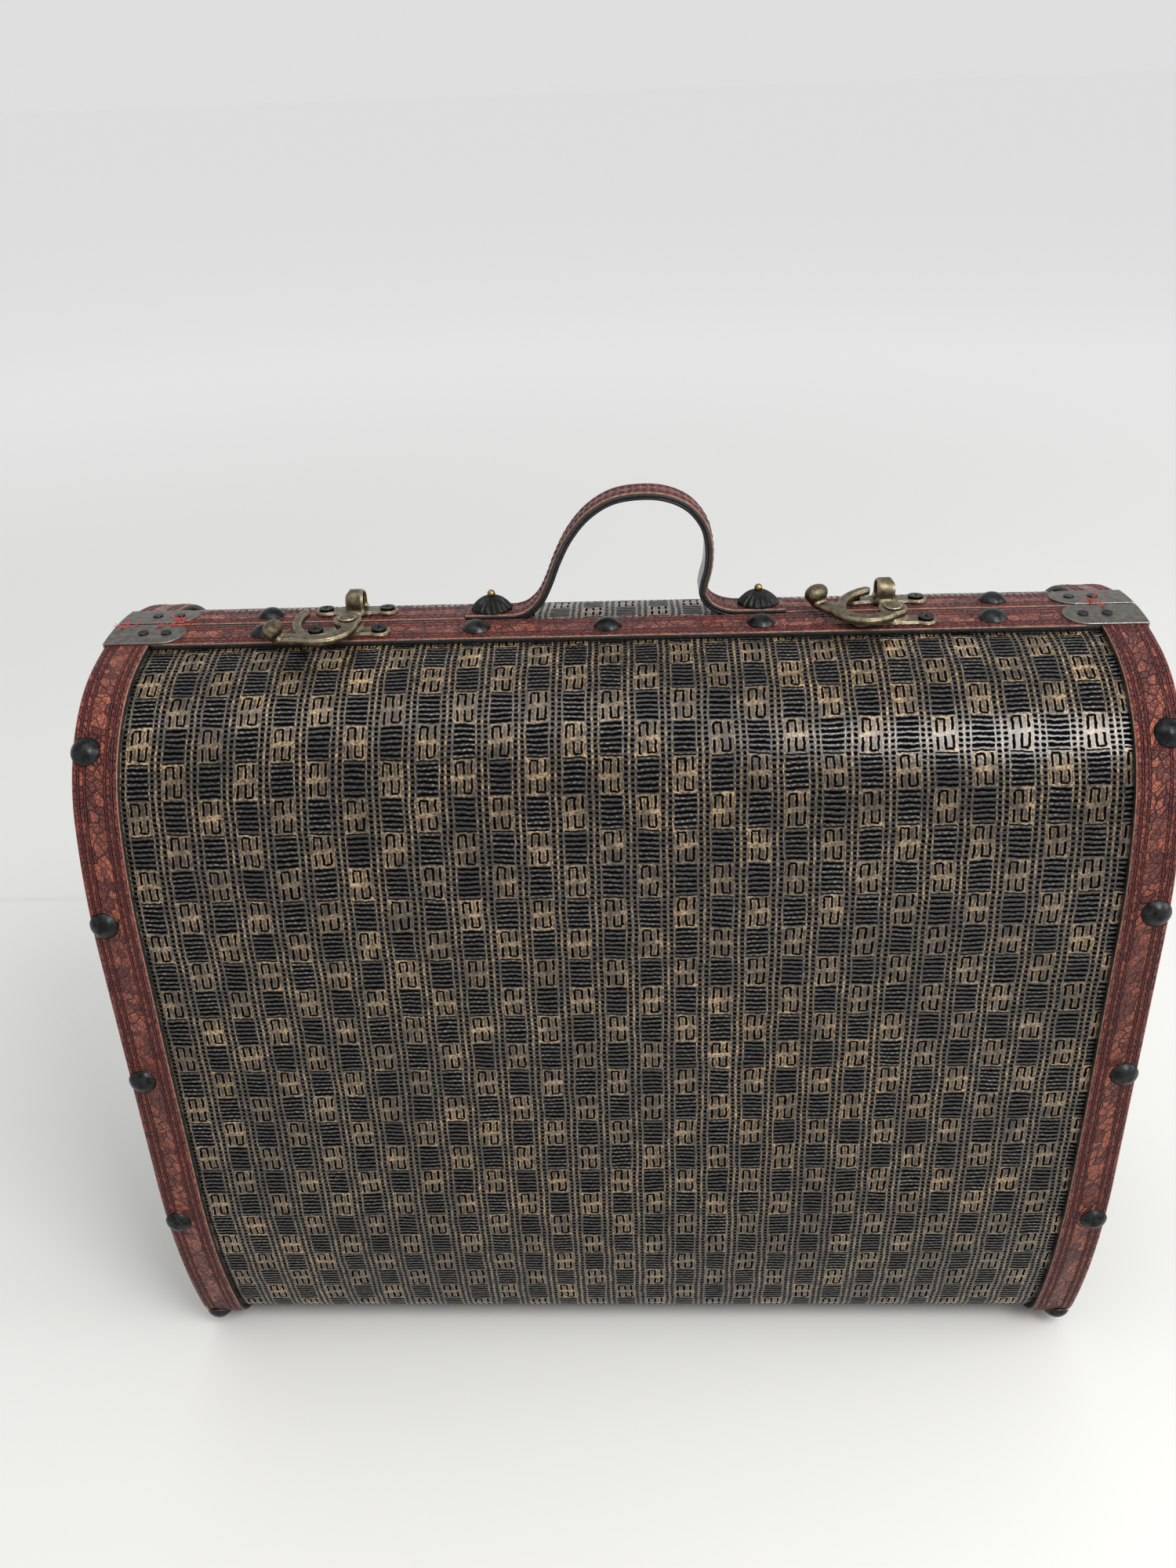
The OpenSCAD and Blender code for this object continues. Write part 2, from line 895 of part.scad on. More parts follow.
// The handle's strap takes the place of this strap between its two ends.
module back_rim_strap() {
    color(red)
        difference() {
            back() rim_strap();
            back_bores();
            translate([handle_x - handle_end, 0, case_h / 2]) cube([2 * handle_end, half_d, case_h]);
        }
}

module back_rim_batten() {
    color(board)
        difference() {
            back() rim_batten();
            back_bores();
        }
}

module back_hinge_batten() {
    color(board)
        difference() {
            back() hinge_batten();
            back_bores();
        }
}

module back_lining() {
    color(paper)
        back() lining();
}

module back_left_bracket() {
    color(gunmetal)
        difference() {
            back() mirror([1, 0, 0]) bracket();
            back_bores();
        }
}

module back_right_bracket() {
    color(gunmetal)
        difference() {
            back() bracket();
            back_bores();
        }
}

module back_bracket_tacks() {
    color(gunmetal)
        back() {
            at_rim_tacks(rim_mid) tack(tack_len);
            at_flap_tacks() tack(flap_tack_len);
        }
}

module back_strap_nails() {
    color(gunmetal)
        back() for (side = [-1, 1]) at_strap_nails(side) nail();
}

module back_rim_nails() {
    color(gunmetal)
        at_rim_nails(back_rim_nails_x, -rim_mid) nail();
}

module left_hook_plate() {
    color(bronze)
        hook_plate(-1);
}

module left_hook() {
    color(bronze)
        hook(-1, left_open);
}

module left_rivet() {
    color(bronze)
        rivet(-1);
}

module left_keeper() {
    color(bronze)
        keeper(-1);
}

module right_hook_plate() {
    color(bronze)
        hook_plate(1);
}

module right_hook() {
    color(bronze)
        hook(1, right_open);
}

module right_rivet() {
    color(bronze)
        rivet(1);
}

module right_keeper() {
    color(bronze)
        keeper(1);
}

module hook_plate_screws() {
    color(gunmetal)
        at_hook_screws() cross_screw();
}

module keeper_screws() {
    color(gunmetal)
        at_keeper_screws() cross_screw();
}

module handle_strap() {
    color(red)
        strap_run(handle_lining_t, handle_tabs);
}

module handle_lining() {
    color(cloth)
        strap_run(0, handle_lining_t);
}

module handle_rosettes() {
    color(gunmetal)
        at_rosettes() rosette();
}

module handle_pins() {
    color(brass)
        at_rosettes() rosette_pin();
}

module left_hinge_lid_leaf() {
    color(bronze)
        leaf(-1, lid_spans);
}

module left_hinge_base_leaf() {
    color(bronze)
        back() leaf(-1, base_spans);
}

module left_hinge_pin() {
    color(bronze)
        hinge_pin(-1);
}

module right_hinge_lid_leaf() {
    color(bronze)
        leaf(1, lid_spans);
}

module right_hinge_base_leaf() {
    color(bronze)
        back() leaf(1, base_spans);
}

module right_hinge_pin() {
    color(bronze)
        hinge_pin(1);
}

module hinge_lid_screws() {
    color(gunmetal)
        at_leaf_screws() leaf_screw();
}

module hinge_base_screws() {
    color(gunmetal)
        back() at_leaf_screws() leaf_screw();
}

// Piece to draw, or all of them

front_left_end_panel();
front_right_end_panel();
front_wrap_panel();
front_wrap_cover();
front_left_end_cover();
front_left_strap();
front_right_end_cover();
front_right_strap();
front_rim_strap();
front_rim_batten();
front_hinge_batten();
front_lining();
front_left_bracket();
front_right_bracket();
front_bracket_tacks();
front_strap_nails();
front_rim_nails();
back_left_end_panel();
back_right_end_panel();
back_wrap_panel();
back_wrap_cover();
back_left_end_cover();
back_left_strap();
back_right_end_cover();
back_right_strap();
back_rim_strap();
back_rim_batten();
back_hinge_batten();
back_lining();
back_left_bracket();
back_right_bracket();
back_bracket_tacks();
back_strap_nails();
back_rim_nails();
left_hook_plate();
left_hook();
left_rivet();
left_keeper();
right_hook_plate();
right_hook();
right_rivet();
right_keeper();
hook_plate_screws();
keeper_screws();
handle_strap();
handle_lining();
handle_rosettes();
handle_pins();
left_hinge_lid_leaf();
left_hinge_base_leaf();
left_hinge_pin();
right_hinge_lid_leaf();
right_hinge_base_leaf();
right_hinge_pin();
hinge_lid_screws();
hinge_base_screws();
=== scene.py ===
"""Looks of the vintage suitcase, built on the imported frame, in metres."""

import math
import random

import bmesh
import bpy
import numpy as np
from mathutils import Matrix, Vector
from mathutils.geometry import tessellate_polygon


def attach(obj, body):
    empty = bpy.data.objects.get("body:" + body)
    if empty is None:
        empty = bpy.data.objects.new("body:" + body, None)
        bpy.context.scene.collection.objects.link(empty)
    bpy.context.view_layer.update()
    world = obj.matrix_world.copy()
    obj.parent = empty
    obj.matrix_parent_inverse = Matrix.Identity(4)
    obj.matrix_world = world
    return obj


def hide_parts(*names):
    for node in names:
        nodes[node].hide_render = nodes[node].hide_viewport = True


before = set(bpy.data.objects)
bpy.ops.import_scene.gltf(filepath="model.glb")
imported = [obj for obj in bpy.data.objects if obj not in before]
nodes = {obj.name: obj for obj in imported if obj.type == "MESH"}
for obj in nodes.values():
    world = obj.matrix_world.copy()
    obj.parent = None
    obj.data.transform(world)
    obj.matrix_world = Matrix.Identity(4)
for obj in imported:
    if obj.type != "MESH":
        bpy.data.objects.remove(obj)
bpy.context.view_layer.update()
scene = bpy.context.scene
rng = random.Random(7)

# Sizes of the solids, in millimetres.
CASE_W, CASE_D, CASE_H = 394.0, 165.0, 325.0
JOINT = 0.8
CROWN_R, SHOULDER_R, CHEEK_R, HEEL_R, TOE_R = 140.0, 58.0, 220.0, 300.0, 28.0
CHEEK_Z, HEEL_Z = CASE_H - 99.0, 110.0
STRAP_W, STRAP_T, COVER_T = 16.8, 2.5, 0.8
PAD_BACK = 7.0
WRAP_T, END_T, LINING_T, BATTEN_W, BATTEN_H = 3.0, 9.0, 0.6, 17.0, 12.0
INNER_OFF = -STRAP_T - COVER_T - WRAP_T
INNER_W = CASE_W / 2 - COVER_T - END_T
HINGE_X, NOTCH_HALF, LEAF_EDGE = 118.0, 20.0, 2.7
RIM_MID = JOINT + STRAP_W / 2
HANDLE_X, ROSETTE_X, HANDLE_H, HANDLE_W = 2.4, 52.5, 46.5, 16.4
ROSETTE_R, ROSETTE_H, FIT = 8.2, 5.2, 0.05
HANDLE_OUT, HANDLE_IN = 2.0, 1.2
LATCH_X, HOOK_Z, KEEPER_T = 104.0, 3.0, 1.6
ROLL_C, ROLL_R, ROLL_HALF = (-16.6, 23.9, 5.22), 3.0, 4.7
HOOK_OPEN = {"left": 85.0, "right": 40.0}
MM = 0.001
# Centre line of the handle: shares of ROSETTE_X along the rim and of HANDLE_H above it.
HANDLE_PATH = [
    (-1.19, 0), (-1.0, 0), (-0.9, 0), (-0.8, 0.005), (-0.7, 0.045), (-0.6, 0.15), (-0.525, 0.31),
    (-0.46, 0.49), (-0.37, 0.68), (-0.24, 0.85), (-0.07, 0.965), (0.13, 1), (0.31, 0.98), (0.46, 0.9),
    (0.56, 0.76), (0.595, 0.6), (0.59, 0.43), (0.56, 0.29), (0.555, 0.19), (0.61, 0.09), (0.7, 0.03),
    (0.8, 0.003), (0.9, 0), (1.0, 0), (1.19, 0)]

# Sizes that only the looks have, in millimetres.
WEAVE_W, WEAVE_H, BLOCK_W = 13.15, 13.25, 8.3
LANE_OUT, LANE_IN, LANE_DIP, LANE_HALF = 2.3, 4.7, 0.16, 0.55
STITCH_PITCH, STITCH_LEN, STITCH_HALF, STITCH_RISE, STITCH_STRAY = 2.7, 2.15, 0.32, 0.3, 0.12
# Points inside the case and inside the handle's arch; stitches stand out away from them.
STITCH_HUB = np.array([0.0, 0.0, CASE_H * 0.45])
HANDLE_HUB = np.array([0.0, RIM_MID, CASE_H + 8.0])
EDGE_WAVE, WAVE_LEN = 0.12, 17.0
VOXEL, TUMBLES = 0.35, 6
PETALS, PETAL_DIP, HUB_SHARE = 16, 1.1, 0.17
# Where the weave and the leather start on their pieces.
COVER_UV, END_UV, RIM_UV, UV_SHIFT = (7.0, 6.0), 4.0, 200, 50
# Tufts: body, x, arc from the rim joint, threads.
TUFTS = [("lid", -193.0, 3.0, 9), ("lid", -178.0, 1.6, 5), ("lid", -171.5, 2.0, 4),
         ("base", -172.0, -2.4, 7), ("base", 181.0, -1.6, 6), ("lid", 184.5, 2.0, 5)]
THREAD_STEPS, THREAD_SIDES = 6, 5

BODY = {"front": "lid", "back": "base"}
SIDE = {"front": 1.0, "back": -1.0}
WORD = {-1: "left", 1: "right"}
ALONG = np.array([1.0, 0.0, 0.0])


def meeting(a, ra, b, rb):
    """Point where a circle of radius ra about a crosses one of radius rb about b."""
    d = math.dist(a, b)
    u = ((b[0] - a[0]) / d, (b[1] - a[1]) / d)
    k = (ra * ra - rb * rb + d * d) / (2 * d)
    h = math.sqrt(ra * ra - k * k)
    return (a[0] + k * u[0] - h * u[1], a[1] + k * u[1] + h * u[0])


def profile(off, step=1.5):
    """Front half from the rim joint down the face to the base joint: y, z, normal, arc length."""
    hd = CASE_D / 2
    crown = (0.0, CASE_H - CROWN_R)
    cheek = (CHEEK_R - hd, CHEEK_Z)
    heel = (HEEL_R - hd, HEEL_Z)
    toe = (heel[0] - math.sqrt((HEEL_R - TOE_R) ** 2 - (HEEL_Z - TOE_R) ** 2), TOE_R)
    shoulder = meeting(crown, CROWN_R - SHOULDER_R, cheek, CHEEK_R - SHOULDER_R)

    def bearing(c, q):
        a = math.atan2(q[1] - c[1], q[0] - c[0])
        return a if a >= 0 else a + 2 * math.pi

    a1, a2, a3 = bearing(crown, shoulder), bearing(cheek, shoulder), bearing(heel, toe)
    start = math.pi / 2 + math.asin(JOINT / (CROWN_R + off))
    runs = [(crown, CROWN_R, start, a1), (shoulder, SHOULDER_R, a1, a2), (cheek, CHEEK_R, a2, math.pi),
            (heel, HEEL_R, math.pi, a3), (toe, TOE_R, a3, 1.5 * math.pi)]
    pts, nrm = [], []
    for c, r, b0, b1 in runs:
        n = max(2, int(round((b1 - b0) * r / step)))
        for k in range(n + 1):
            b = b0 + (b1 - b0) * k / n
            nv = (math.cos(b), math.sin(b))
            q = (c[0] + (r + off) * nv[0], c[1] + (r + off) * nv[1])
            if pts and math.dist(pts[-1], q) < 1e-6:
                continue
            if pts and math.dist(pts[-1], q) > 2 * step:
                m = int(math.dist(pts[-1], q) / step)
                p0, n0 = pts[-1], nrm[-1]
                for i in range(1, m):
                    t = i / m
                    pts.append((p0[0] + (q[0] - p0[0]) * t, p0[1] + (q[1] - p0[1]) * t))
                    nrm.append(n0)
            pts.append(q)
            nrm.append(nv)
    p0 = pts[-1]
    m = int((-JOINT - p0[0]) / step)
    for i in range(1, m + 1):
        pts.append((p0[0] + (-JOINT - p0[0]) * i / m, -off))
        nrm.append((0.0, -1.0))
    p, n = np.array(pts), np.array(nrm)
    s = np.concatenate([[0], np.cumsum(np.linalg.norm(np.diff(p, axis=0), axis=1))])
    return p, n, s


def rim_frame(s):
    """Point on the crown at arc s from the joint, front positive, with its outward normal."""
    t = s / CROWN_R
    n = np.array([0.0, -math.sin(t), math.cos(t)])
    return np.array([0.0, 0.0, CASE_H - CROWN_R]) + CROWN_R * n, n


def rim_axes(s):
    """Axes of a fitting on the crown at arc s: along the rim, across it and outward."""
    _, n = rim_frame(s)
    return np.array([ALONG, (0.0, n[2], -n[1]), n])


def lanes(width):
    """Places of the four stitched furrows across a strap."""
    return LANE_OUT, LANE_IN, width - LANE_IN, width - LANE_OUT


def grid_object(name, P, UV, mats, mat_of=None, smooth=True, close_u=False, flip=False, skip=None):
    """Mesh of a grid of points P[i, j] in millimetres.

    mat_of(i, j) gives a face's material slot, and skip(i, j) leaves the face out.
    """
    n, m = P.shape[:2]
    verts = (P.reshape(-1, 3) * MM).tolist()
    faces, slots, uvs = [], [], []
    cols = m if close_u else m - 1
    for i in range(n - 1):
        for j in range(cols):
            if skip and skip(i, j):
                continue
            k = (j + 1) % m
            q = [(i, j), (i, k), (i + 1, k), (i + 1, j)]
            w = [(i, j), (i, j + 1), (i + 1, j + 1), (i + 1, j)]
            if flip:
                q.reverse()
                w.reverse()
            faces.append([a * m + b for a, b in q])
            slots.append(mat_of(i, j) if mat_of else 0)
            uvs += [UV[a, b % UV.shape[1]] for a, b in w]
    return mesh_object(name, verts, faces, uvs, mats, slots, smooth)


def mesh_object(name, verts, faces, uvs, mats, slots=None, smooth=True):
    me = bpy.data.meshes.new(name)
    me.from_pydata(verts, [], faces)
    if uvs is not None:
        layer = me.uv_layers.new(name="surface")
        layer.data.foreach_set("uv", (np.array(uvs, dtype=np.float32) * MM).ravel())
    for mt in mats:
        me.materials.append(mt)
    if slots:
        me.polygons.foreach_set("material_index", slots)
    me.polygons.foreach_set("use_smooth", [smooth] * len(me.polygons))
    me.update()
    ob = bpy.data.objects.new(name, me)
    scene.collection.objects.link(ob)
    return ob


def formula(op, back=False):
    """A method that takes a term, and another value if need be, through a Math node."""
    def method(self, *other):
        values = (*other, self) if back else (self, *other)
        return self.g.math(op, *values)
    return method


class Term:
    """A shader value that takes part in formulas."""

    def __init__(self, graph, socket):
        self.g, self.s = graph, socket

    __add__ = formula("ADD")
    __radd__ = formula("ADD", back=True)
    __sub__ = formula("SUBTRACT")
    __rsub__ = formula("SUBTRACT", back=True)
    __mul__ = formula("MULTIPLY")
    __rmul__ = formula("MULTIPLY", back=True)
    __truediv__ = formula("DIVIDE")
    mod = formula("FLOORED_MODULO")
    floor = formula("FLOOR")
    abs = formula("ABSOLUTE")
    sqrt = formula("SQRT")
    max = formula("MAXIMUM")
    min = formula("MINIMUM")


class Graph:
    """A node material with one Principled shader."""

    def __init__(self, name):
        self.mat = bpy.data.materials.new(name)
        self.mat.use_nodes = True
        self.t = self.mat.node_tree
        self.bsdf = self.t.nodes["Principled BSDF"]

    def new(self, kind, **props):
        n = self.t.nodes.new(kind)
        for k, v in props.items():
            setattr(n, k, v)
        return n

    def put(self, sock, v):
        if isinstance(v, Term):
            self.t.links.new(v.s, sock)
        elif v is not None:
            sock.default_value = v

    def math(self, op, a, b=None):
        n = self.new("ShaderNodeMath", operation=op)
        self.put(n.inputs[0], a)
        self.put(n.inputs[1], b)
        return Term(self, n.outputs[0])

    def ramp(self, x, lo, hi):
        """0 below lo, 1 above hi, smooth between."""
        n = self.new("ShaderNodeMapRange", interpolation_type="SMOOTHSTEP")
        self.put(n.inputs["Value"], x)
        n.inputs["From Min"].default_value, n.inputs["From Max"].default_value = lo, hi
        return Term(self, n.outputs["Result"])

    def within(self, x, half, soft=0.12):
        return 1.0 - self.ramp(x, half - soft, half + soft)

    def mix(self, f, a, b):
        n = self.new("ShaderNodeMix", data_type="RGBA")
        self.put(n.inputs["Factor"], f)
        for key, v in (("A", a), ("B", b)):
            sock = [i for i in n.inputs if i.name == key and i.type == "RGBA"][0]
            self.put(sock, v if isinstance(v, Term) else (*v, 1.0))
        return Term(self, [o for o in n.outputs if o.type == "RGBA"][0])

    def blend(self, f, a, b):
        return a + f * (b - a)

    def split(self, socket):
        n = self.new("ShaderNodeSeparateXYZ")
        self.t.links.new(socket, n.inputs[0])
        return [Term(self, o) for o in n.outputs]

    def join(self, x, y, z=0.0):
        n = self.new("ShaderNodeCombineXYZ")
        for k, v in enumerate((x, y, z)):
            self.put(n.inputs[k], v)
        return Term(self, n.outputs[0])

    def place(self, unit=1.0):
        """Place in the object's own axes: x, y and z in metres times unit."""
        n = self.new("ShaderNodeTexCoord")
        return [q if unit == 1.0 else q * unit for q in self.split(n.outputs["Object"])]

    def surface(self):
        """Millimetres across and along, from the mesh's own surface map."""
        n = self.new("ShaderNodeUVMap", uv_map="surface")
        u, v, _ = self.split(n.outputs[0])
        return u * 1000.0, v * 1000.0

    def noise(self, vec, scale, detail=3.0, rough=0.55, dims="3D"):
        n = self.new("ShaderNodeTexNoise", noise_dimensions=dims)
        self.put(n.inputs["Vector"], vec)
        n.inputs["Scale"].default_value = scale
        n.inputs["Detail"].default_value = detail
        n.inputs["Roughness"].default_value = rough
        return Term(self, n.outputs[0])

    def chance(self, x, y):
        """An even draw from 0 to 1 for each whole x, y."""
        n = self.new("ShaderNodeTexWhiteNoise", noise_dimensions="2D")
        self.put(n.inputs["Vector"], self.join(x, y))
        return Term(self, n.outputs["Value"])

    def cells(self, vec, scale, feature="DISTANCE_TO_EDGE", out=0):
        n = self.new("ShaderNodeTexVoronoi", feature=feature, voronoi_dimensions="2D")
        self.put(n.inputs["Vector"], vec)
        n.inputs["Scale"].default_value = scale
        return Term(self, n.outputs[out])

    def bump(self, h, dist, strength=1.0):
        n = self.new("ShaderNodeBump")
        n.inputs["Strength"].default_value = strength
        n.inputs["Distance"].default_value = dist
        self.put(n.inputs["Height"], h)
        self.t.links.new(n.outputs[0], self.bsdf.inputs["Normal"])

    def edges(self, radius):
        """1 where the surface turns within radius, 0 on flats, with the bevel node."""
        b = self.new("ShaderNodeBevel", samples=4)
        b.inputs["Radius"].default_value = radius
        g = self.new("ShaderNodeNewGeometry")
        d = self.new("ShaderNodeVectorMath", operation="DOT_PRODUCT")
        self.t.links.new(b.outputs[0], d.inputs[0])
        self.t.links.new(g.outputs["Normal"], d.inputs[1])
        return self.ramp((1.0 - Term(self, d.outputs["Value"])) * 6.0, 0.03, 0.9), b

    def out(self, **kw):
        """Put values on the shader's sockets and give the material."""
        for k, v in kw.items():
            self.put(self.bsdf.inputs[k.replace("_", " ")], v)
        return self.mat


def cloth_pattern(g, u, v):
    """Embossed block weave at u, v in millimetres: raised share, tan share and dark blocks; on the dark
    blocks the tan share is that of painted glints on the ridges.
    """
    cw, ch, bw = WEAVE_W, WEAVE_H, BLOCK_W
    at = g.join(u, v)
    wob = g.noise(at, 0.07, 1.0, 0.5, "2D")
    jig = g.noise(at, 0.5, 1.0, 0.5, "2D")
    u = u + (wob - 0.5) * 1.0 + (jig - 0.5) * 0.7
    v = v + (wob - 0.5) * 1.6 - (jig - 0.5) * 0.7
    cu, cv = u.mod(cw), v.mod(ch)
    column, row = (u / cw).floor(), (v / ch).floor()
    kind = (column + row).mod(2.0)
    draw = g.chance(column, row)
    in_block = g.within(cu, bw, 0.1)
    # upright cords with pits between them, beside the blocks
    pitch, gap = ch * 2 / 13, (cw - bw) / 2
    pu = (cu - bw).mod(gap) - gap / 2
    pv = v.mod(pitch) - pitch / 2
    pit = g.within(((pu * pu) / 0.56 + (pv * pv) / 0.34).sqrt(), 1.0, 0.25)
    cord = g.ramp(pu.abs(), 0.62, 0.98) * (1.0 - g.ramp(pv.abs(), 0.35, 0.85) * 0.6)
    # bar blocks: two rows of upright bars between three slots, which turn a corner at one end
    step = bw / 3
    turn = (cu / step).floor() - 1.0
    sx = (cu.mod(step) - step / 2).abs()
    sy = cv.mod(ch / 2) - ch / 4
    half = (cv / (ch / 2)).floor() * 2.0 - 1.0
    bend = g.within((cu - bw / 2 + half * step / 2).abs(), step / 2, 0.2)
    corner = g.within((sy - half * 2.25).abs(), 0.4, 0.14) * bend
    slot = (g.within(sx, 0.45, 0.14) * g.within((sy - turn * 0.35).abs(), 2.4, 0.16)).max(corner)
    rub = 1.0 - g.ramp(sx, 0.72, 1.05) * g.within(sy.abs(), 2.2, 0.25) * 0.7
    # dark blocks: long grooves with thin pale dashes between them, painted glints on the ridge tops
    groove = g.within(pv.abs(), 0.52, 0.2) * g.within((cu - bw / 2).abs(), 3.8, 0.25)
    beat = 2.1
    shift = beat / 2 * (v / pitch + 0.5).floor().mod(2.0)
    dash = g.within(((cu + shift).mod(beat) - beat / 2).abs(), 0.6, 0.2)
    # painted highlight: the ridges between the grooves of the dark blocks get pale dashes as glints
    line = g.ramp(pv.abs(), 0.7, 0.95) * (dash * 0.6 + 0.1) * (draw * 1.3 + 0.4)
    sunk = g.blend(in_block, pit, g.blend(kind, slot, groove))
    # tan share: rubbed tan on the net and bars, painted glints on the dark blocks' ridges
    tan = g.blend(in_block, cord * 0.92 + 0.06, g.blend(kind, rub * (draw * 0.3 + 0.72), line))
    return 1.0 - sunk, tan, in_block * kind


def cloth(name):
    """Black lacquered cloth with a rub of tan in its embossed weave, painted shade in its pits and painted
    glints on the ridges of its dark blocks.
    """
    # the pits' black, darker than the lacquer, is painted shade; the dashes' grey is a painted glint
    pit_shade_black, lacquer, glint_grey = (0.0022, 0.0021, 0.0023), (0.007, 0.0062, 0.006), (0.27, 0.24, 0.2)
    pale_tan, warm_tan = (0.37, 0.262, 0.155), (0.46, 0.31, 0.16)
    g = Graph(name)
    u, v = g.surface()
    h, share, dark = cloth_pattern(g, u, v)
    at = g.join(u, v)
    fine = g.noise(at, 0.9, 2.0, 0.65, "2D")
    wide = g.noise(at, 0.012, 3.0, 0.6, "2D")
    speck = g.ramp(fine, 0.34, 0.64)
    worn = g.ramp(g.noise(at, 0.16, 2.0, 0.6, "2D"), 0.3, 0.66)
    patch = g.ramp(g.noise(at, 0.032, 3.0, 0.6, "2D"), 0.36, 0.64)
    # the dark blocks take the grey of painted glints in place of tan
    tan = g.mix(dark, g.mix(g.ramp(wide, 0.36, 0.66), pale_tan, warm_tan), glint_grey)
    # share of rubbed tan, and of the painted glints on the dark blocks
    rub_and_glint = share * (speck * 0.8 + 0.2) * (worn * 0.65 + 0.35) * (patch * 0.55 + 0.6)
    # painted shade: sunk pits, slots and grooves take a black darker than the lacquer
    col = g.mix(g.ramp(h, 0.15, 0.8), pit_shade_black, g.mix(rub_and_glint, lacquer, tan))
    g.bump(h * 0.8 + fine * 0.2, 0.0005, 0.8)
    return g.out(Base_Color=col, Roughness=g.blend(h, 0.9, 0.25) + (fine - 0.5) * 0.16,
                 Specular_IOR_Level=h * 0.55)


def leather(name, width):
    """Embossed red leather with angular flakes, creases and two stitched furrows along each edge."""
    dark_red, brick, scuff = (0.085, 0.0105, 0.009), (0.36, 0.095, 0.052), (0.3, 0.1, 0.065)
    edge_red, stain_red, crease_dark = (0.15, 0.02, 0.015), (0.1, 0.016, 0.013), (0.02, 0.004, 0.0035)
    crack_dark, furrow_dark = (0.04, 0.007, 0.006), (0.03, 0.0045, 0.005)
    flake = 0.4
    g = Graph(name)
    u, v = g.surface()
    at = g.join(u, v)
    soft = g.noise(at, 0.35, 3.0, 0.6, "2D")
    wob = g.noise(at, 0.14, 2.0, 0.5, "2D")
    grain = g.noise(at, 1.6, 3.0, 0.65, "2D")
    q = g.join(u * 0.8 + v * 0.6 + wob * 2.0, (v * 0.8 - u * 0.6) * 0.55 + wob * 2.0)
    small = g.cells(g.join(u + wob * 3.0 + soft * 2.0, v + wob * 4.0 + soft * 2.0), 0.6)
    r, _, _ = g.split(g.cells(q, flake, "F1", 1).s)
    here = g.ramp(g.noise(at, 0.085, 2.0, 0.6, "2D"), 0.38, 0.6)
    crease = (1.0 - g.ramp(g.cells(q, flake), 0.01, 0.11)) * (here * 0.6 + 0.4)
    fine = 1.0 - g.ramp(small, 0.0, 0.12)
    wide = g.ramp(g.noise(at, 0.03, 2.0, 0.5, "2D"), 0.35, 0.65)
    rim = g.ramp((u - width / 2).abs(), width / 2 - 5.2, width / 2 - 3.4)
    lane = None
    for c in lanes(width):
        a = (u - c).abs()
        lane = a if lane is None else lane.min(a)
    furrow = g.within(lane, 0.48, 0.26)
    base = g.mix(g.ramp(r * 0.75 + soft * 0.35, 0.24, 0.92), dark_red, brick)
    for share, tint in ((rim * 0.55, edge_red), (wide * 0.45, stain_red),
                        (g.ramp(grain, 0.48, 0.72) * 0.35, scuff), (crease * 0.92, crease_dark),
                        (fine * 0.55, crack_dark), (furrow * 0.8, furrow_dark)):
        base = g.mix(share, base, tint)
    g.bump(soft * 0.5 + r * 0.25 + grain * 0.25 - crease * 0.8 - fine * 0.3 - furrow * 0.6, 0.0016, 1.0)
    return g.out(Base_Color=base, Roughness=0.3 + crease * 0.25 + (soft - 0.5) * 0.35 + fine * 0.1,
                 Specular_IOR_Level=0.4)


def plain(name, lo, hi, scale, rough, spread=0.15, bump=0.0002, stretch=1.0):
    """Two-tone grained surface in object space, with its grain along x where stretch is small."""
    g = Graph(name)
    x, y, z = g.place(1000.0)
    vec = g.join(x * stretch, y, z)
    n1 = g.noise(vec, scale, 4.0, 0.62)
    n2 = g.noise(vec, scale * 5.0, 2.0, 0.5)
    col = g.mix(g.ramp(n1 * 0.7 + n2 * 0.3, 0.35, 0.65), lo, hi)
    g.bump(n2 * 0.6 + n1 * 0.4, bump, 0.6)
    return g.out(Base_Color=col, Roughness=rough + (n1 - 0.5) * spread)


def worn_and_highlit_metal(name, deep, body, light_of_wear_and_highlight, rough, edge):
    """Metal with a dull skin and light-coloured worn edges that also carry a painted highlight."""
    g = Graph(name)
    vec = g.join(*g.place(1000.0))
    n1 = g.noise(vec, 0.35, 4.0, 0.65)
    n2 = g.noise(vec, 2.1, 2.0, 0.5)
    e, bevel = g.edges(edge)
    # worn edges with a painted highlight: edges found by the bevel node, broken by noise, take the light
    # colour
    wear_and_highlight = g.ramp(e * 0.9 + (n1 - 0.5) * 0.7, 0.3, 0.75)
    col = g.mix(g.ramp(n1, 0.35, 0.65), deep, body)
    col = g.mix(wear_and_highlight, col, light_of_wear_and_highlight)
    b = g.new("ShaderNodeBump")
    b.inputs["Strength"].default_value = 0.35
    b.inputs["Distance"].default_value = 0.00012
    g.put(b.inputs["Height"], n2 * 0.5 + n1)
    g.t.links.new(bevel.outputs[0], b.inputs["Normal"])
    g.t.links.new(b.outputs[0], g.bsdf.inputs["Normal"])
    return g.out(Base_Color=col, Metallic=1.0, Roughness=rough - wear_and_highlight * 0.14 + (n2 - 0.5) * 0.2)


cover_cloth = cloth("cover_cloth")
red = leather("strap_red", STRAP_W)
red_handle = leather("handle_red", HANDLE_W)
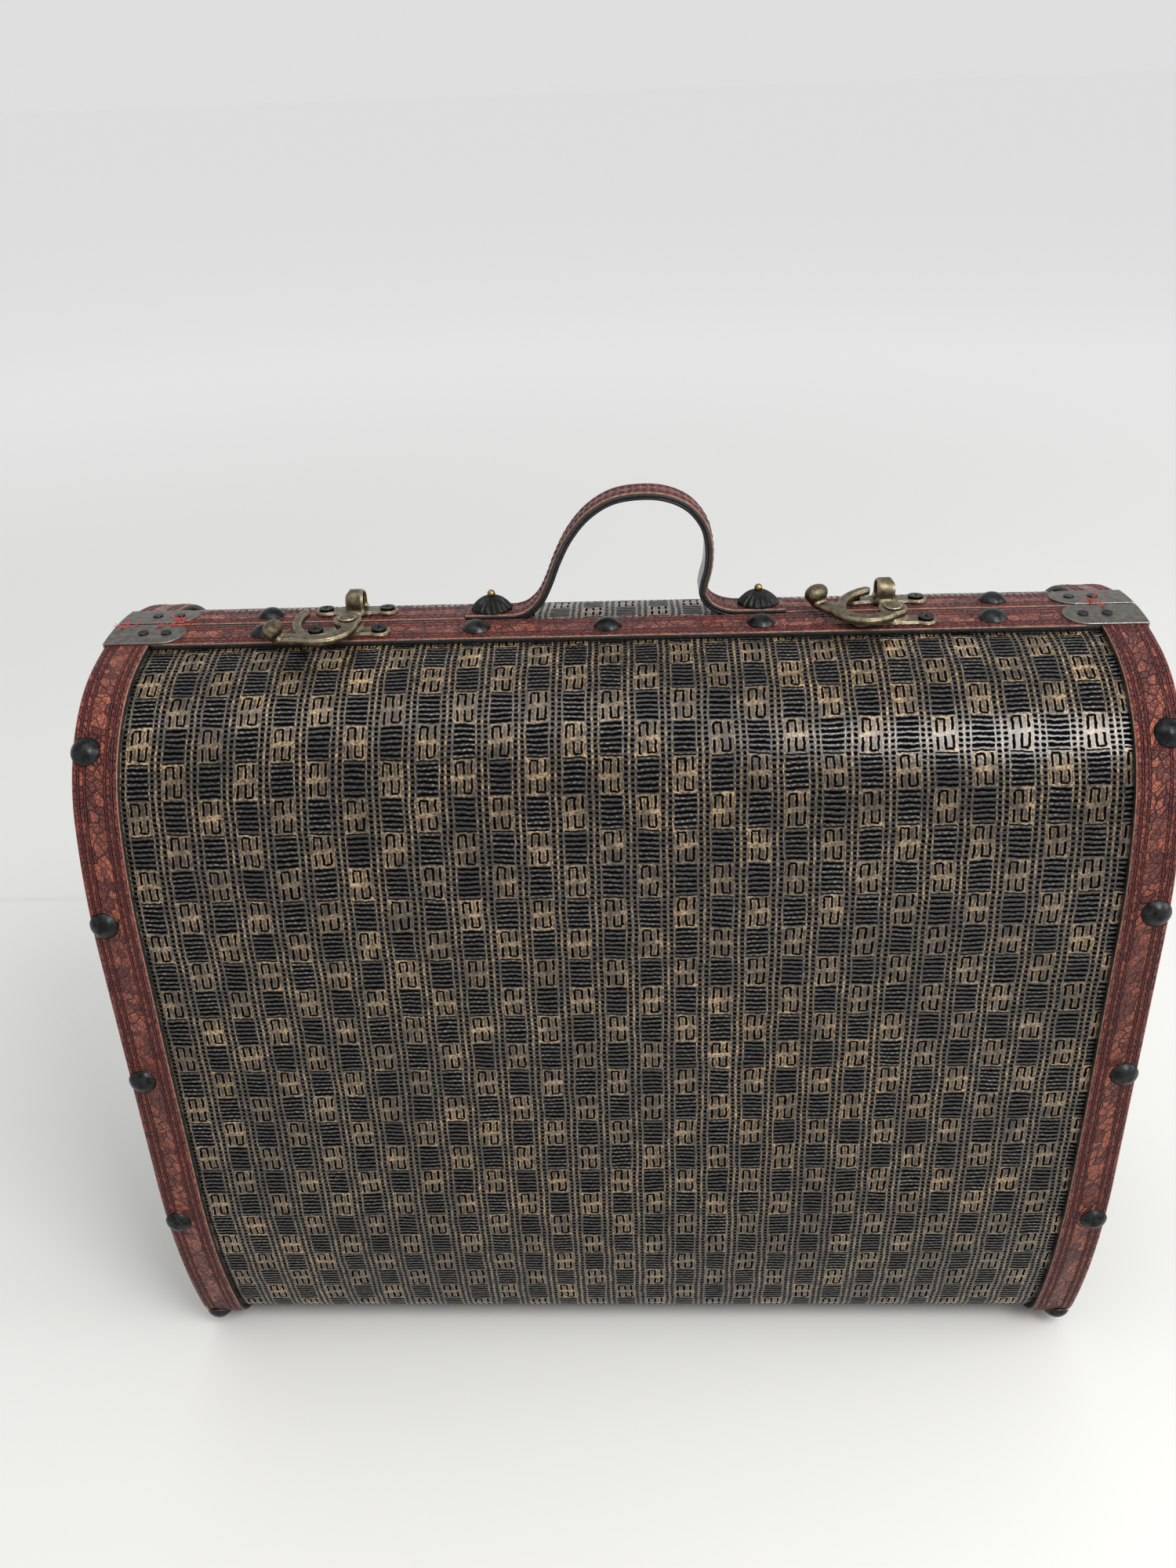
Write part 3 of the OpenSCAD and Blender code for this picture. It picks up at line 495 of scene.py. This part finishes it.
# black edge paint on the strap's sides, which also paints the shade in the gap beside the strap
black_edge_and_shade = plain("strap_edge_black_and_shade", (0.008, 0.008, 0.009), (0.03, 0.028, 0.027), 0.9, 0.5)
black_lining = plain("handle_black", (0.004, 0.004, 0.005), (0.012, 0.012, 0.013), 0.5, 0.22, 0.1)
board = plain("fibreboard", (0.2, 0.13, 0.075), (0.34, 0.24, 0.15), 0.8, 0.85)
wood = plain("batten_wood", (0.32, 0.2, 0.1), (0.48, 0.33, 0.19), 0.5, 0.7, stretch=0.06)
# pale raw edge of the strap, which also paints a highlight along its bevel
raw_and_highlit_edge = plain("strap_raw_edge", (0.14, 0.05, 0.03), (0.34, 0.18, 0.11), 0.5, 0.7)
lining_paper = plain("lining_paper", (0.26, 0.215, 0.155), (0.37, 0.315, 0.24), 0.25, 0.85, bump=0.0001)
stitch_red = plain("stitch_red", (0.03, 0.004, 0.006), (0.1, 0.011, 0.013), 1.6, 0.6)
thread_red = plain("thread_red", (0.4, 0.02, 0.018), (0.62, 0.055, 0.045), 2.5, 0.7)
# Metals: colour in the hollows, on the body and on worn edges with their painted highlight, roughness,
# width of a worn edge.
METALS = {
    "nail_gunmetal": ((0.016, 0.0165, 0.017), (0.04, 0.041, 0.042), (0.12, 0.112, 0.1), 0.34, 0.0006),
    "bracket_steel": ((0.12, 0.112, 0.1), (0.2, 0.188, 0.17), (0.36, 0.33, 0.29), 0.46, 0.0005),
    "antique_bronze": ((0.07, 0.056, 0.036), (0.19, 0.155, 0.1), (0.62, 0.52, 0.34), 0.42, 0.0008),
    "cast_bronze": ((0.07, 0.056, 0.036), (0.19, 0.155, 0.1), (0.66, 0.55, 0.36), 0.38, 0.0018),
    "screw_black": ((0.01, 0.01, 0.01), (0.022, 0.022, 0.022), (0.09, 0.085, 0.08), 0.4, 0.0004),
    "pin_brass": ((0.2, 0.14, 0.06), (0.36, 0.26, 0.12), (0.6, 0.48, 0.28), 0.32, 0.0005),
    "hinge_steel": ((0.16, 0.145, 0.11), (0.27, 0.245, 0.19), (0.5, 0.46, 0.36), 0.4, 0.0005),
    "rosette_dark": ((0.014, 0.014, 0.015), (0.034, 0.034, 0.035), (0.13, 0.125, 0.12), 0.42, 0.0004)}
metal = {name: worn_and_highlit_metal(name, *look) for name, look in METALS.items()}
STRAP_LOOK = [red, raw_and_highlit_edge, black_edge_and_shade]

# Words in a node's name and the material they call for; the first that fits is taken.
NODE_LOOKS = [
    ("cover", cover_cloth), ("end_panel", board), ("wrap_panel", board), ("batten", wood),
    ("_lining", lining_paper), ("tacks", metal["screw_black"]), ("bracket", metal["bracket_steel"]),
    ("nails", metal["nail_gunmetal"]), ("rosettes", metal["nail_gunmetal"]),
    ("screws", metal["screw_black"]), ("handle_pins", metal["pin_brass"]),
    ("hinge", metal["hinge_steel"]), ("", metal["antique_bronze"])]
for name, ob in nodes.items():
    ob.data.materials.clear()
    ob.data.materials.append(next(look for word, look in NODE_LOOKS if word in name))


def skin(ob, node, half, thickness):
    """Give a replacing skin its thickness on the inner side and its place in the part."""
    mod = ob.modifiers.new("thickness", "SOLIDIFY")
    mod.thickness = thickness * MM
    mod.offset = -1
    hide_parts(node)
    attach(ob, BODY[half])


def make_cover(half):
    """Cloth round a half, with a notch at each hinge."""
    k = SIDE[half]
    p, _, s = profile(-STRAP_T)
    at = float(np.interp(-LEAF_EDGE, p[-9:, 0], s[-9:]))
    row = int(np.searchsorted(s, at))
    p = np.insert(p, row, (-LEAF_EDGE, STRAP_T), axis=0)
    s = np.insert(s, row, at)
    edge = [e * HINGE_X + d * NOTCH_HALF for e in (-1, 1) for d in (-1, 1)]
    xs = np.sort(np.concatenate([np.linspace(-CASE_W / 2 + COVER_T, CASE_W / 2 - COVER_T, 40), edge]))
    mid = (xs[1:] + xs[:-1]) / 2
    P = np.zeros((len(s), len(xs), 3))
    P[:, :, 0] = xs[None, :]
    P[:, :, 1] = k * p[:, 0][:, None]
    P[:, :, 2] = p[:, 1][:, None]
    down = np.repeat(COVER_UV[1] - s[:, None], len(xs), axis=1)
    UV = np.stack([k * P[:, :, 0] + COVER_UV[0], down], axis=2)
    ob = grid_object(f"{half}_cover_cloth", P, UV, [cover_cloth], flip=k > 0,
                     skip=lambda i, j: i >= row and abs(abs(mid[j]) - HINGE_X) < NOTCH_HALF)
    skin(ob, f"{half}_wrap_cover", half, COVER_T)


def make_end_cover(half, side):
    """Cloth glued on an end board, in rows from the profile to the joint."""
    k = SIDE[half]
    p, _, _ = profile(-STRAP_T, 3.0)
    last = int(np.argmax(p[:, 1] < STRAP_T + 1e-6))
    p = p[:last + 1]
    p = p[p[:, 0] < -JOINT - 1.0]
    t = np.linspace(0.0, 1.0, 24)
    y = p[:, :1] * (1 - t) - JOINT * t
    P = np.zeros((len(p), len(t), 3))
    P[:, :, 0] = side * CASE_W / 2
    P[:, :, 1] = k * y
    P[:, :, 2] = p[:, 1:]
    UV = np.stack([side * k * y + END_UV, P[:, :, 2]], axis=2)
    name = f"{half}_{WORD[side]}_end"
    ob = grid_object(f"{name}_cloth", P, UV, [cover_cloth], smooth=False, flip=k * side > 0)
    skin(ob, f"{name}_cover", half, COVER_T)


def hollow_runs(off):
    """Inside of a half from the rim joint round the battens and the wall to the base joint: y, z."""
    p, _, _ = profile(INNER_OFF - off, 3.0)
    y = -JOINT - BATTEN_W - off
    top, low = CASE_H + INNER_OFF - BATTEN_H - off, BATTEN_H - INNER_OFF + off
    upper = p[p[:, 1] > CASE_H / 2][::-1]
    first = (y, float(np.interp(y, upper[:, 0], upper[:, 1])))
    last = (y, -INNER_OFF + off)
    wall = [first] + p[p[:, 0] < y].tolist() + [last]
    return [[(-JOINT, top), (y, top)], [(y, top), first], wall, [last, (y, low)], [(y, low), (-JOINT, low)]]


def make_lining(half):
    """Paper on the inside of a half: strips round the battens and the wall, and a sheet at each end."""
    k = SIDE[half]
    w = INNER_W - LINING_T
    xs = np.linspace(-w, w, 30)
    verts, faces = [], []
    runs = hollow_runs(LINING_T)
    for run in runs:
        f, m = len(verts), len(xs)
        verts += [(x, k * y, z) for y, z in run for x in xs]
        faces += [[f + i * m + j, f + i * m + j + 1, f + (i + 1) * m + j + 1, f + (i + 1) * m + j]
                  for i in range(len(run) - 1) for j in range(m - 1)]
    loop = runs[0] + runs[2] + runs[4]
    for x in (-w, w):
        f = len(verts)
        verts += [(x, k * y, z) for y, z in loop]
        faces += [[f + i for i in t] for t in tessellate_polygon([[Vector((y, z, 0)) for y, z in loop]])]
    heart = np.array([0.0, -k * CASE_D / 4, CASE_H / 2])
    v = np.array(verts)
    for t in faces:
        if np.dot(np.cross(v[t[1]] - v[t[0]], v[t[2]] - v[t[1]]), heart - v[t[0]]) < 0:
            t.reverse()
    ob = mesh_object(f"{half}_lining_paper", (v * MM).tolist(), faces, None, [lining_paper])
    skin(ob, f"{half}_lining", half, LINING_T - FIT)


def strap_section():
    """Points across a strap from edge to edge: distance across, height."""
    w, t = STRAP_W, STRAP_T
    pts = [(0, 0), (0, t - 0.75), (0.1, t - 0.35), (0.4, t - 0.08), (0.9, t)]
    inner = np.linspace(0.9, w - 0.9, 23)[1:-1]
    pts += [(x, t) for x in inner]
    pts += [(w - 0.9, t), (w - 0.4, t - 0.08), (w - 0.1, t - 0.35), (w, t - 0.75), (w, 0)]
    return np.array(pts)


def strap_slot(j, n):
    """Leather on top, a raw line along each edge that also carries a painted highlight, black sides that
    also paint the shade beside the strap.
    """
    j = min(j, n - 2 - j)
    return 0 if j >= 3 else (1 if j == 2 else 2)


def strap_height(x, h):
    """Height of a strap's point, with the furrows pressed into its top."""
    if h <= STRAP_T - 0.1:
        return h
    return h - sum(LANE_DIP * math.exp(-((x - c) / LANE_HALF) ** 2) for c in lanes(STRAP_W))


def top_columns(sec):
    """Points of a section that go on across the strap, without those straight up or down."""
    return [0] + [j for j in range(1, len(sec)) if sec[j][0] > sec[j - 1][0]]


def stitch_rows(name, P, across, along, width, body, hub=STITCH_HUB):
    """Rows of thread stitches along the furrows of a strap's grid of points, raised away from hub."""
    foot, crest = STITCH_HALF * 0.7, STITCH_HALF * 0.5
    quads = ((4, 5, 6, 7), (0, 1, 5, 4), (1, 2, 6, 5), (2, 3, 7, 6), (3, 0, 4, 7))
    verts, faces = [], []
    for lane in lanes(width):
        j = int(np.searchsorted(across, lane)) - 1
        part = (lane - across[j]) / (across[j + 1] - across[j])
        line = P[:, j] * (1 - part) + P[:, j + 1] * part
        side = P[:, j + 1] - P[:, j]
        for s0 in np.arange(along[0] + 1.2, along[-1] - STITCH_LEN - 1.0, STITCH_PITCH):
            s0 = s0 + rng.uniform(-STITCH_STRAY, STITCH_STRAY)
            ends = [np.array([np.interp(s0 + STITCH_LEN * t, along, line[:, c]) for c in range(3)])
                    for t in (0, 0.28, 0.72, 1)]
            d = ends[3] - ends[0]
            w = np.array([np.interp(s0, along, side[:, c]) for c in range(3)])
            w = w / np.linalg.norm(w)
            n = np.cross(d, w)
            n = n / np.linalg.norm(n)
            if np.dot(n, ends[0] - hub) < 0:
                n = -n
            f = len(verts)
            skew = rng.uniform(-STITCH_STRAY, STITCH_STRAY)
            lift = STITCH_RISE * n
            pts = [ends[0] + (skew - foot) * w, ends[0] + (skew + foot) * w,
                   ends[3] + (-skew + foot) * w, ends[3] - (skew + foot) * w,
                   ends[1] + lift - crest * w, ends[1] + lift + crest * w,
                   ends[2] + lift + crest * w, ends[2] + lift - crest * w]
            verts += [(q * MM).tolist() for q in pts]
            faces += [[f + a for a in q] for q in quads]
    ob = mesh_object(name, verts, faces, None, [stitch_red])
    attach(ob, body)


def capped(ob):
    """Close the two open ends of a swept grid."""
    bm = bmesh.new()
    bm.from_mesh(ob.data)
    bmesh.ops.holes_fill(bm, edges=[e for e in bm.edges if e.is_boundary], sides=0)
    bmesh.ops.recalc_face_normals(bm, faces=bm.faces)
    bm.to_mesh(ob.data)
    bm.free()
    return ob


def make_end_strap(half, side):
    """Leather strap round the profile at one end of a half."""
    k = SIDE[half]
    name = f"{half}_{WORD[side]}_strap"
    p, n, s = profile(-STRAP_T, 2.0)
    keep = ~((p[:, 1] < CASE_H / 2) & (p[:, 0] > -PAD_BACK))
    p, n, s = p[keep], n[keep], s[keep]
    sec = strap_section()
    shift = rng.random() * UV_SHIFT
    wave = EDGE_WAVE * np.sin(s / WAVE_LEN + shift)
    P = np.zeros((len(s), len(sec), 3))
    UV = np.zeros((len(s), len(sec), 2))
    for j, (a, h) in enumerate(sec):
        h = strap_height(a, h)
        x = CASE_W / 2 - STRAP_W + a
        P[:, j, 0] = side * (x + wave if a < 1 else x)
        P[:, j, 1] = k * (p[:, 0] + h * n[:, 0])
        P[:, j, 2] = p[:, 1] + h * n[:, 1]
        UV[:, j, 0] = a
        UV[:, j, 1] = s + shift
    P[:, :, 2] = np.maximum(P[:, :, 2], 0.0)
    ob = grid_object(f"{name}_leather", P, UV, STRAP_LOOK, lambda i, j: strap_slot(j, len(sec)),
                     close_u=True, flip=k * side > 0)
    capped(ob)
    cols = top_columns(sec)
    stitch_rows(f"{name}_stitches", P[:, cols], sec[cols, 0], s, STRAP_W, BODY[half])
    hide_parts(name)
    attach(ob, BODY[half])


def make_rim_strap(half):
    """Leather strap along the top of a half; the back one leaves room for the handle's ends."""
    k = SIDE[half]
    end = CASE_W / 2 - STRAP_W
    reach = HANDLE_PATH[-1][0] * ROSETTE_X + FIT
    runs = [("", -end, end)]
    if half == "back":
        runs = [("_left", -end, HANDLE_X - reach), ("_right", HANDLE_X + reach, end)]
    sec = strap_section()
    cols = top_columns(sec)
    shift = rng.random() * UV_SHIFT
    for word, x0, x1 in runs:
        xs = np.linspace(x0, x1, int((x1 - x0) / 2) + 2)
        P = np.zeros((len(xs), len(sec), 3))
        UV = np.zeros((len(xs), len(sec), 2))
        P[:, :, 0] = xs[:, None]
        for j, (a, h) in enumerate(sec):
            c, nv = rim_frame(k * (JOINT + a))
            P[:, j, 1:] = (c + (strap_height(a, h) - STRAP_T) * nv)[1:]
            UV[:, j, 0] = a
            UV[:, j, 1] = xs + RIM_UV + shift
        stitch_rows(f"{half}_rim_strap_stitches{word}", P[:, cols], sec[cols, 0], xs, STRAP_W, BODY[half])
        ob = grid_object(f"{half}_rim_strap_leather{word}", P, UV, STRAP_LOOK,
                         lambda i, j: strap_slot(j, len(sec)), close_u=True, flip=k < 0)
        capped(ob)
        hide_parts(f"{half}_rim_strap")
        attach(ob, BODY[half])


for half in ("front", "back"):
    make_cover(half)
    make_rim_strap(half)
    make_lining(half)
    for side in (-1, 1):
        make_end_cover(half, side)
        make_end_strap(half, side)


def smooth_line(path, n):
    """Curve through the points of a path, n steps from each to the next."""
    p = [np.array(q, float) for q in path]
    out = []
    for i in range(len(p) - 1):
        p0, p1, p2, p3 = p[max(i - 1, 0)], p[i], p[i + 1], p[min(i + 2, len(p) - 1)]
        for k in range(n):
            t = k / n
            out.append(0.5 * (2 * p1 + (p2 - p0) * t + (2 * p0 - 5 * p1 + 4 * p2 - p3) * t * t
                              + (3 * p1 - p0 - 3 * p2 + p3) * t ** 3))
    out.append(p[-1])
    return np.array(out)


def make_handle():
    """Leather strap of the handle over its black lining."""
    line = smooth_line(HANDLE_PATH, 10) * np.array([ROSETTE_X, HANDLE_H])
    d = np.gradient(line, axis=0)
    d /= np.linalg.norm(d, axis=1)[:, None]
    up = np.stack([-d[:, 1], d[:, 0]], axis=1)
    s = np.concatenate([[0], np.cumsum(np.linalg.norm(np.diff(line, axis=0), axis=1))])
    c, _ = rim_frame(-RIM_MID)
    _, across, nv = rim_axes(-RIM_MID)
    c = c + (FIT - STRAP_T) * nv + HANDLE_X * ALONG
    hw = HANDLE_W / 2

    def sweep(name, section, mats, slot_of):
        P = np.zeros((len(line), len(section), 3))
        UV = np.zeros((len(line), len(section), 2))
        for j, (a, h) in enumerate(section):
            q = line + h * up
            P[:, j, :] = c + q[:, :1] * ALONG + q[:, 1:] * nv + a * across
            UV[:, j, 0] = a + hw
            UV[:, j, 1] = s
        ob = grid_object(name, P, UV, mats, slot_of, close_u=True)
        capped(ob)
        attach(ob, "base")
        return ob, P

    def furrow(x):
        return 0.2 * math.exp(-((abs(x) - hw + LANE_OUT) / 0.6) ** 2)

    lo, hi = HANDLE_IN, HANDLE_IN + HANDLE_OUT
    edge = [(hw, lo + 0.02), (hw, lo + 1.1), (hw - 0.12, hi - 0.5), (hw - 0.5, hi - 0.12), (hw - 0.9, hi)]
    top = [(-x, z) for x, z in edge]
    top += [(x, hi - furrow(x)) for x in np.linspace(-hw + 1.3, hw - 1.3, 21)]
    top += edge[::-1]
    n = len(top)
    ob, P = sweep("handle_strap_leather", top, [red_handle, raw_and_highlit_edge, black_edge_and_shade],
                  lambda i, j: 2 if j == n - 1 else strap_slot(j, n))
    cols = list(range(3, n - 3))
    stitch_rows("handle_stitches", P[:, cols], np.array([top[j][0] + hw for j in cols]), s,
                HANDLE_W, "base", HANDLE_HUB)
    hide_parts("handle_strap")
    edge = [(hw - 0.3, lo), (hw - 0.1, 0.5), (hw - 0.6, 0.0)]
    low = edge + [(x, 0.0) for x in np.linspace(hw - 2, -hw + 2, 7)]
    low += [(-x, z) for x, z in edge[::-1]]
    ob, _ = sweep("handle_strap_lining", low, [black_lining], lambda i, j: 0)
    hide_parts("handle_lining")


make_handle()


def make_rosettes():
    """Fluted rosettes that hold the ends of the handle."""
    rings, spokes = 14, PETALS * 10
    c, _ = rim_frame(-RIM_MID)
    _, across, nv = rim_axes(-RIM_MID)
    base = HANDLE_IN + HANDLE_OUT - STRAP_T + 2 * FIT
    verts, faces = [], []
    for side in (-1, 1):
        o = c + (HANDLE_X + side * ROSETTE_X) * ALONG + base * nv
        first = len(verts)
        for i in range(rings + 2):
            for k in range(spokes):
                a = 2 * math.pi * k / spokes
                lobe = abs(math.sin(a * PETALS / 2))
                t = HUB_SHARE + (1 - HUB_SHARE) * min(i, rings) / rings
                r = ROSETTE_R * t * (1 - 0.07 * (1 - lobe) ** 2 * t)
                dip = PETAL_DIP * (1 - lobe) ** 1.5 * min(1, 1.6 * t) * (1.05 - 0.35 * t)
                z = (ROSETTE_H - 0.5) * (1 - t ** 2.2) + 0.9 - dip * (0.4 + 0.6 * t)
                z = 0.0 if i > rings else max(z, 0.25)
                q = o + r * (math.cos(a) * ALONG + math.sin(a) * across) + z * nv
                verts.append((q * MM).tolist())
        for i in range(rings + 1):
            for k in range(spokes):
                m = (k + 1) % spokes
                faces.append([first + i * spokes + k, first + i * spokes + m,
                              first + (i + 1) * spokes + m, first + (i + 1) * spokes + k][::-1])
    ob = mesh_object("handle_rosette_petals", verts, faces, None, [metal["rosette_dark"]])
    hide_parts("handle_rosettes")
    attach(ob, "base")


make_rosettes()


def ease(x, lo, hi):
    """0 below lo, 1 above hi, smooth between."""
    t = np.clip((x - lo) / (hi - lo), 0, 1)
    return t * t * (3 - 2 * t)


def round_keeper(q):
    """Narrow the loop above its foot and round its shoulders; q is in the keeper's own axes."""
    top = q[:, 2].max()
    waist = 0.13 * ease(q[:, 2], KEEPER_T, KEEPER_T + 2)
    shoulder = 0.3 * ease(q[:, 2], top - 2.6, top) ** 2
    q[:, 0] *= 1 - waist - shoulder


def round_hook(q):
    """Swell the thumb's roll to a ball; q is in the closed hook's own axes."""
    d = q - np.array(ROLL_C)
    along = np.clip(np.abs(d[:, 0]) / ROLL_HALF, 0, 1)
    near = 1 - ease(np.hypot(d[:, 1], d[:, 2]), ROLL_R + 0.2, ROLL_R + 1.6)
    near *= 1 - ease(np.abs(d[:, 0]), ROLL_HALF + 0.1, ROLL_HALF + 1)
    grow = 1.18 * np.sqrt(1 - (0.9 * along) ** 2) - 1
    q[:, 1:] += (grow * near)[:, None] * d[:, 1:]


def tumble(ob):
    """Give a copy of a solid the mesh of a casting with its edges tumbled round."""
    solid = ob.data
    voxels = ob.modifiers.new("voxels", "REMESH")
    voxels.mode = "VOXEL"
    voxels.voxel_size = VOXEL * MM
    tumbled = ob.modifiers.new("tumbled", "SMOOTH")
    tumbled.factor, tumbled.iterations = 0.5, TUMBLES
    done = ob.evaluated_get(bpy.context.evaluated_depsgraph_get())
    ob.data = bpy.data.meshes.new_from_object(done)
    ob.modifiers.clear()
    bpy.data.meshes.remove(solid)
    return ob.data


def reshape(me, shape, origin, axes):
    """Let shape move the points of a mesh, in millimetres along the given axes."""
    co = np.empty(len(me.vertices) * 3, dtype=np.float32)
    me.vertices.foreach_get("co", co)
    q = (co.reshape(-1, 3) / MM - origin) @ axes.T
    shape(q)
    me.vertices.foreach_set("co", ((q @ axes + origin) * MM).astype(np.float32).ravel())


def make_castings():
    """Latch castings in the form of their solids."""
    bpy.context.view_layer.update()
    for k, side in WORD.items():
        kinds = (("hook", f"{side}_hook", RIM_MID, HOOK_Z, math.radians(HOOK_OPEN[side]), round_hook),
                 ("hook_plate", "lid", RIM_MID, 0.0, 0.0, None),
                 ("keeper", "base", -RIM_MID, 0.0, 0.0, round_keeper))
        for part, body, arc, lift, turn, shape in kinds:
            node = nodes[f"{side}_{part}"]
            me = node.data.copy()
            me.transform(node.matrix_world)
            ob = bpy.data.objects.new(f"{side}_{part}_casting", me)
            scene.collection.objects.link(ob)
            me = tumble(ob)
            if shape:
                c, nv = rim_frame(arc)
                sin, cos = math.sin(turn), math.cos(turn)
                axes = np.array([(cos, sin, 0), (-sin, cos, 0), (0, 0, 1)]) @ rim_axes(arc)
                reshape(me, shape, c + k * LATCH_X * ALONG + lift * nv, axes)
            me.materials.clear()
            me.materials.append(metal["cast_bronze"])
            me.polygons.foreach_set("use_smooth", [True] * len(me.polygons))
            me.update()
            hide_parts(node.name)
            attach(ob, body)


make_castings()


def make_tufts():
    """Loose red threads that stand out of the seams beside the corner brackets."""
    steps, sides = THREAD_STEPS, THREAD_SIDES
    for n, (body, x, arc, count) in enumerate(TUFTS):
        verts, faces = [], []
        c, _ = rim_frame(arc)
        for _ in range(count):
            d = Vector((rng.uniform(-1, 1), rng.uniform(-0.7, 0.7), rng.uniform(0.35, 0.9))).normalized()
            q = Vector((x + rng.uniform(-1.6, 1.6), c[1] + rng.uniform(-0.5, 0.5), c[2] - 0.3))
            bend = Vector((rng.uniform(-0.4, 0.4), rng.uniform(-0.4, 0.4), rng.uniform(-0.35, 0.05)))
            length, r = rng.uniform(3.0, 7.0), rng.uniform(0.2, 0.34)
            first = len(verts)
            for i in range(steps + 1):
                u = d.orthogonal().normalized()
                w = d.cross(u)
                rr = r * (1 - 0.6 * i / steps)
                for k in range(sides):
                    a = 2 * math.pi * k / sides
                    verts.append(((q + rr * (math.cos(a) * u + math.sin(a) * w)) * MM)[:])
                q = q + d * (length / steps)
                d = (d + bend * 0.35).normalized()
            for i in range(steps):
                for k in range(sides):
                    a, b = first + i * sides + k, first + i * sides + (k + 1) % sides
                    faces.append([a, b, b + sides, a + sides])
            faces.append([first + steps * sides + k for k in range(sides)])
        ob = mesh_object(f"thread_tuft_{n}", verts, faces, None, [thread_red])
        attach(ob, body)


make_tufts()


# Stage, lights and camera, in metres.
# The floor's half size, then the place and half width of a painted shadow line where a wall's foot would
# meet the floor.
FLOOR_HALF, WALL_SHADOW_Y, WALL_SHADOW_HALF = 60.0, 0.305, 0.003
FLOOR_FADE, FLOOR_FAR = (0.5, 2.6), (0.985, 0.985, 0.98)
SKY, SKY_STRENGTH = (0.98, 0.98, 0.985, 1), 0.75
# Lights: name, place, target, width, height, power.
LIGHTS = [
    ("key", (0.56, -0.8, 1.3), (0.1, -0.06, 0.28), 0.5, 0.6, 12.5),
    ("side", (1.5, -0.3, 1.0), (0, 0, 0.2), 0.9, 1.0, 10.0),
    ("top", (-0.2, -0.35, 1.8), (0, -0.15, 0.2), 1.0, 1.0, 4.5)]
CAMERA_AT, YAW, PITCH, ROLL = (0.0077, -0.4827, 0.5099), -2.61, 28.2, -2.17
SENSOR, LENS = 36.0, 30.24


def floor_look():
    """Pale floor that fades to white, with a painted shadow line where the foot of a wall would be."""
    g = Graph("floor")
    x, y, _ = g.place()
    tone = g.noise(g.join(x, y), 1.3, 2.0, 0.5)
    near = g.mix(tone, (0.69, 0.69, 0.67), (0.73, 0.73, 0.71))
    pale = g.mix(g.ramp((x * x + y * y).sqrt(), *FLOOR_FADE), near, FLOOR_FAR)
    # painted shadow: a thin grey line across the floor where a wall's foot would be, with no wall there
    wall_shadow = g.within((y - WALL_SHADOW_Y).abs(), WALL_SHADOW_HALF, 0.002)
    return g.out(Base_Color=g.mix(wall_shadow * 0.12, pale, (0.4, 0.4, 0.4)), Roughness=0.8)


def area(name, at, target, width, height, power):
    """Rectangular light at a place, turned to its target."""
    light = bpy.data.lights.new(name, "AREA")
    light.shape, light.energy = "RECTANGLE", power
    light.size, light.size_y = width, height
    ob = bpy.data.objects.new(name, light)
    scene.collection.objects.link(ob)
    ob.location = at
    ob.rotation_euler = (Vector(target) - Vector(at)).to_track_quat("-Z", "Y").to_euler()


def camera_turn():
    """Axes of the camera from its yaw, pitch and roll."""
    yaw, pitch, roll = (math.radians(a) for a in (YAW, PITCH, ROLL))
    ahead = Vector((math.sin(yaw) * math.cos(pitch), math.cos(yaw) * math.cos(pitch), -math.sin(pitch)))
    right = Vector((math.cos(yaw), -math.sin(yaw), 0))
    up = right.cross(ahead)
    x = math.cos(roll) * right + math.sin(roll) * up
    y = -math.sin(roll) * right + math.cos(roll) * up
    return Matrix((x, y, -ahead)).transposed().to_4x4()


corners = [(x * FLOOR_HALF, y * FLOOR_HALF, 0) for x, y in ((-1, -1), (1, -1), (1, 1), (-1, 1))]
floor = mesh_object("floor", corners, [[0, 1, 2, 3]], None, [floor_look()])

scene.world = bpy.data.worlds.new("studio")
scene.world.use_nodes = True
sky = scene.world.node_tree.nodes["Background"].inputs
sky["Color"].default_value = SKY
sky["Strength"].default_value = SKY_STRENGTH
for light in LIGHTS:
    area(*light)

cam_data = bpy.data.cameras.new("camera")
cam_data.sensor_width, cam_data.lens, cam_data.clip_start = SENSOR, LENS, 0.01
cam = bpy.data.objects.new("camera", cam_data)
scene.collection.objects.link(cam)
cam.matrix_world = Matrix.Translation(CAMERA_AT) @ camera_turn()
scene.camera = cam
scene.view_settings.view_transform = "Standard"
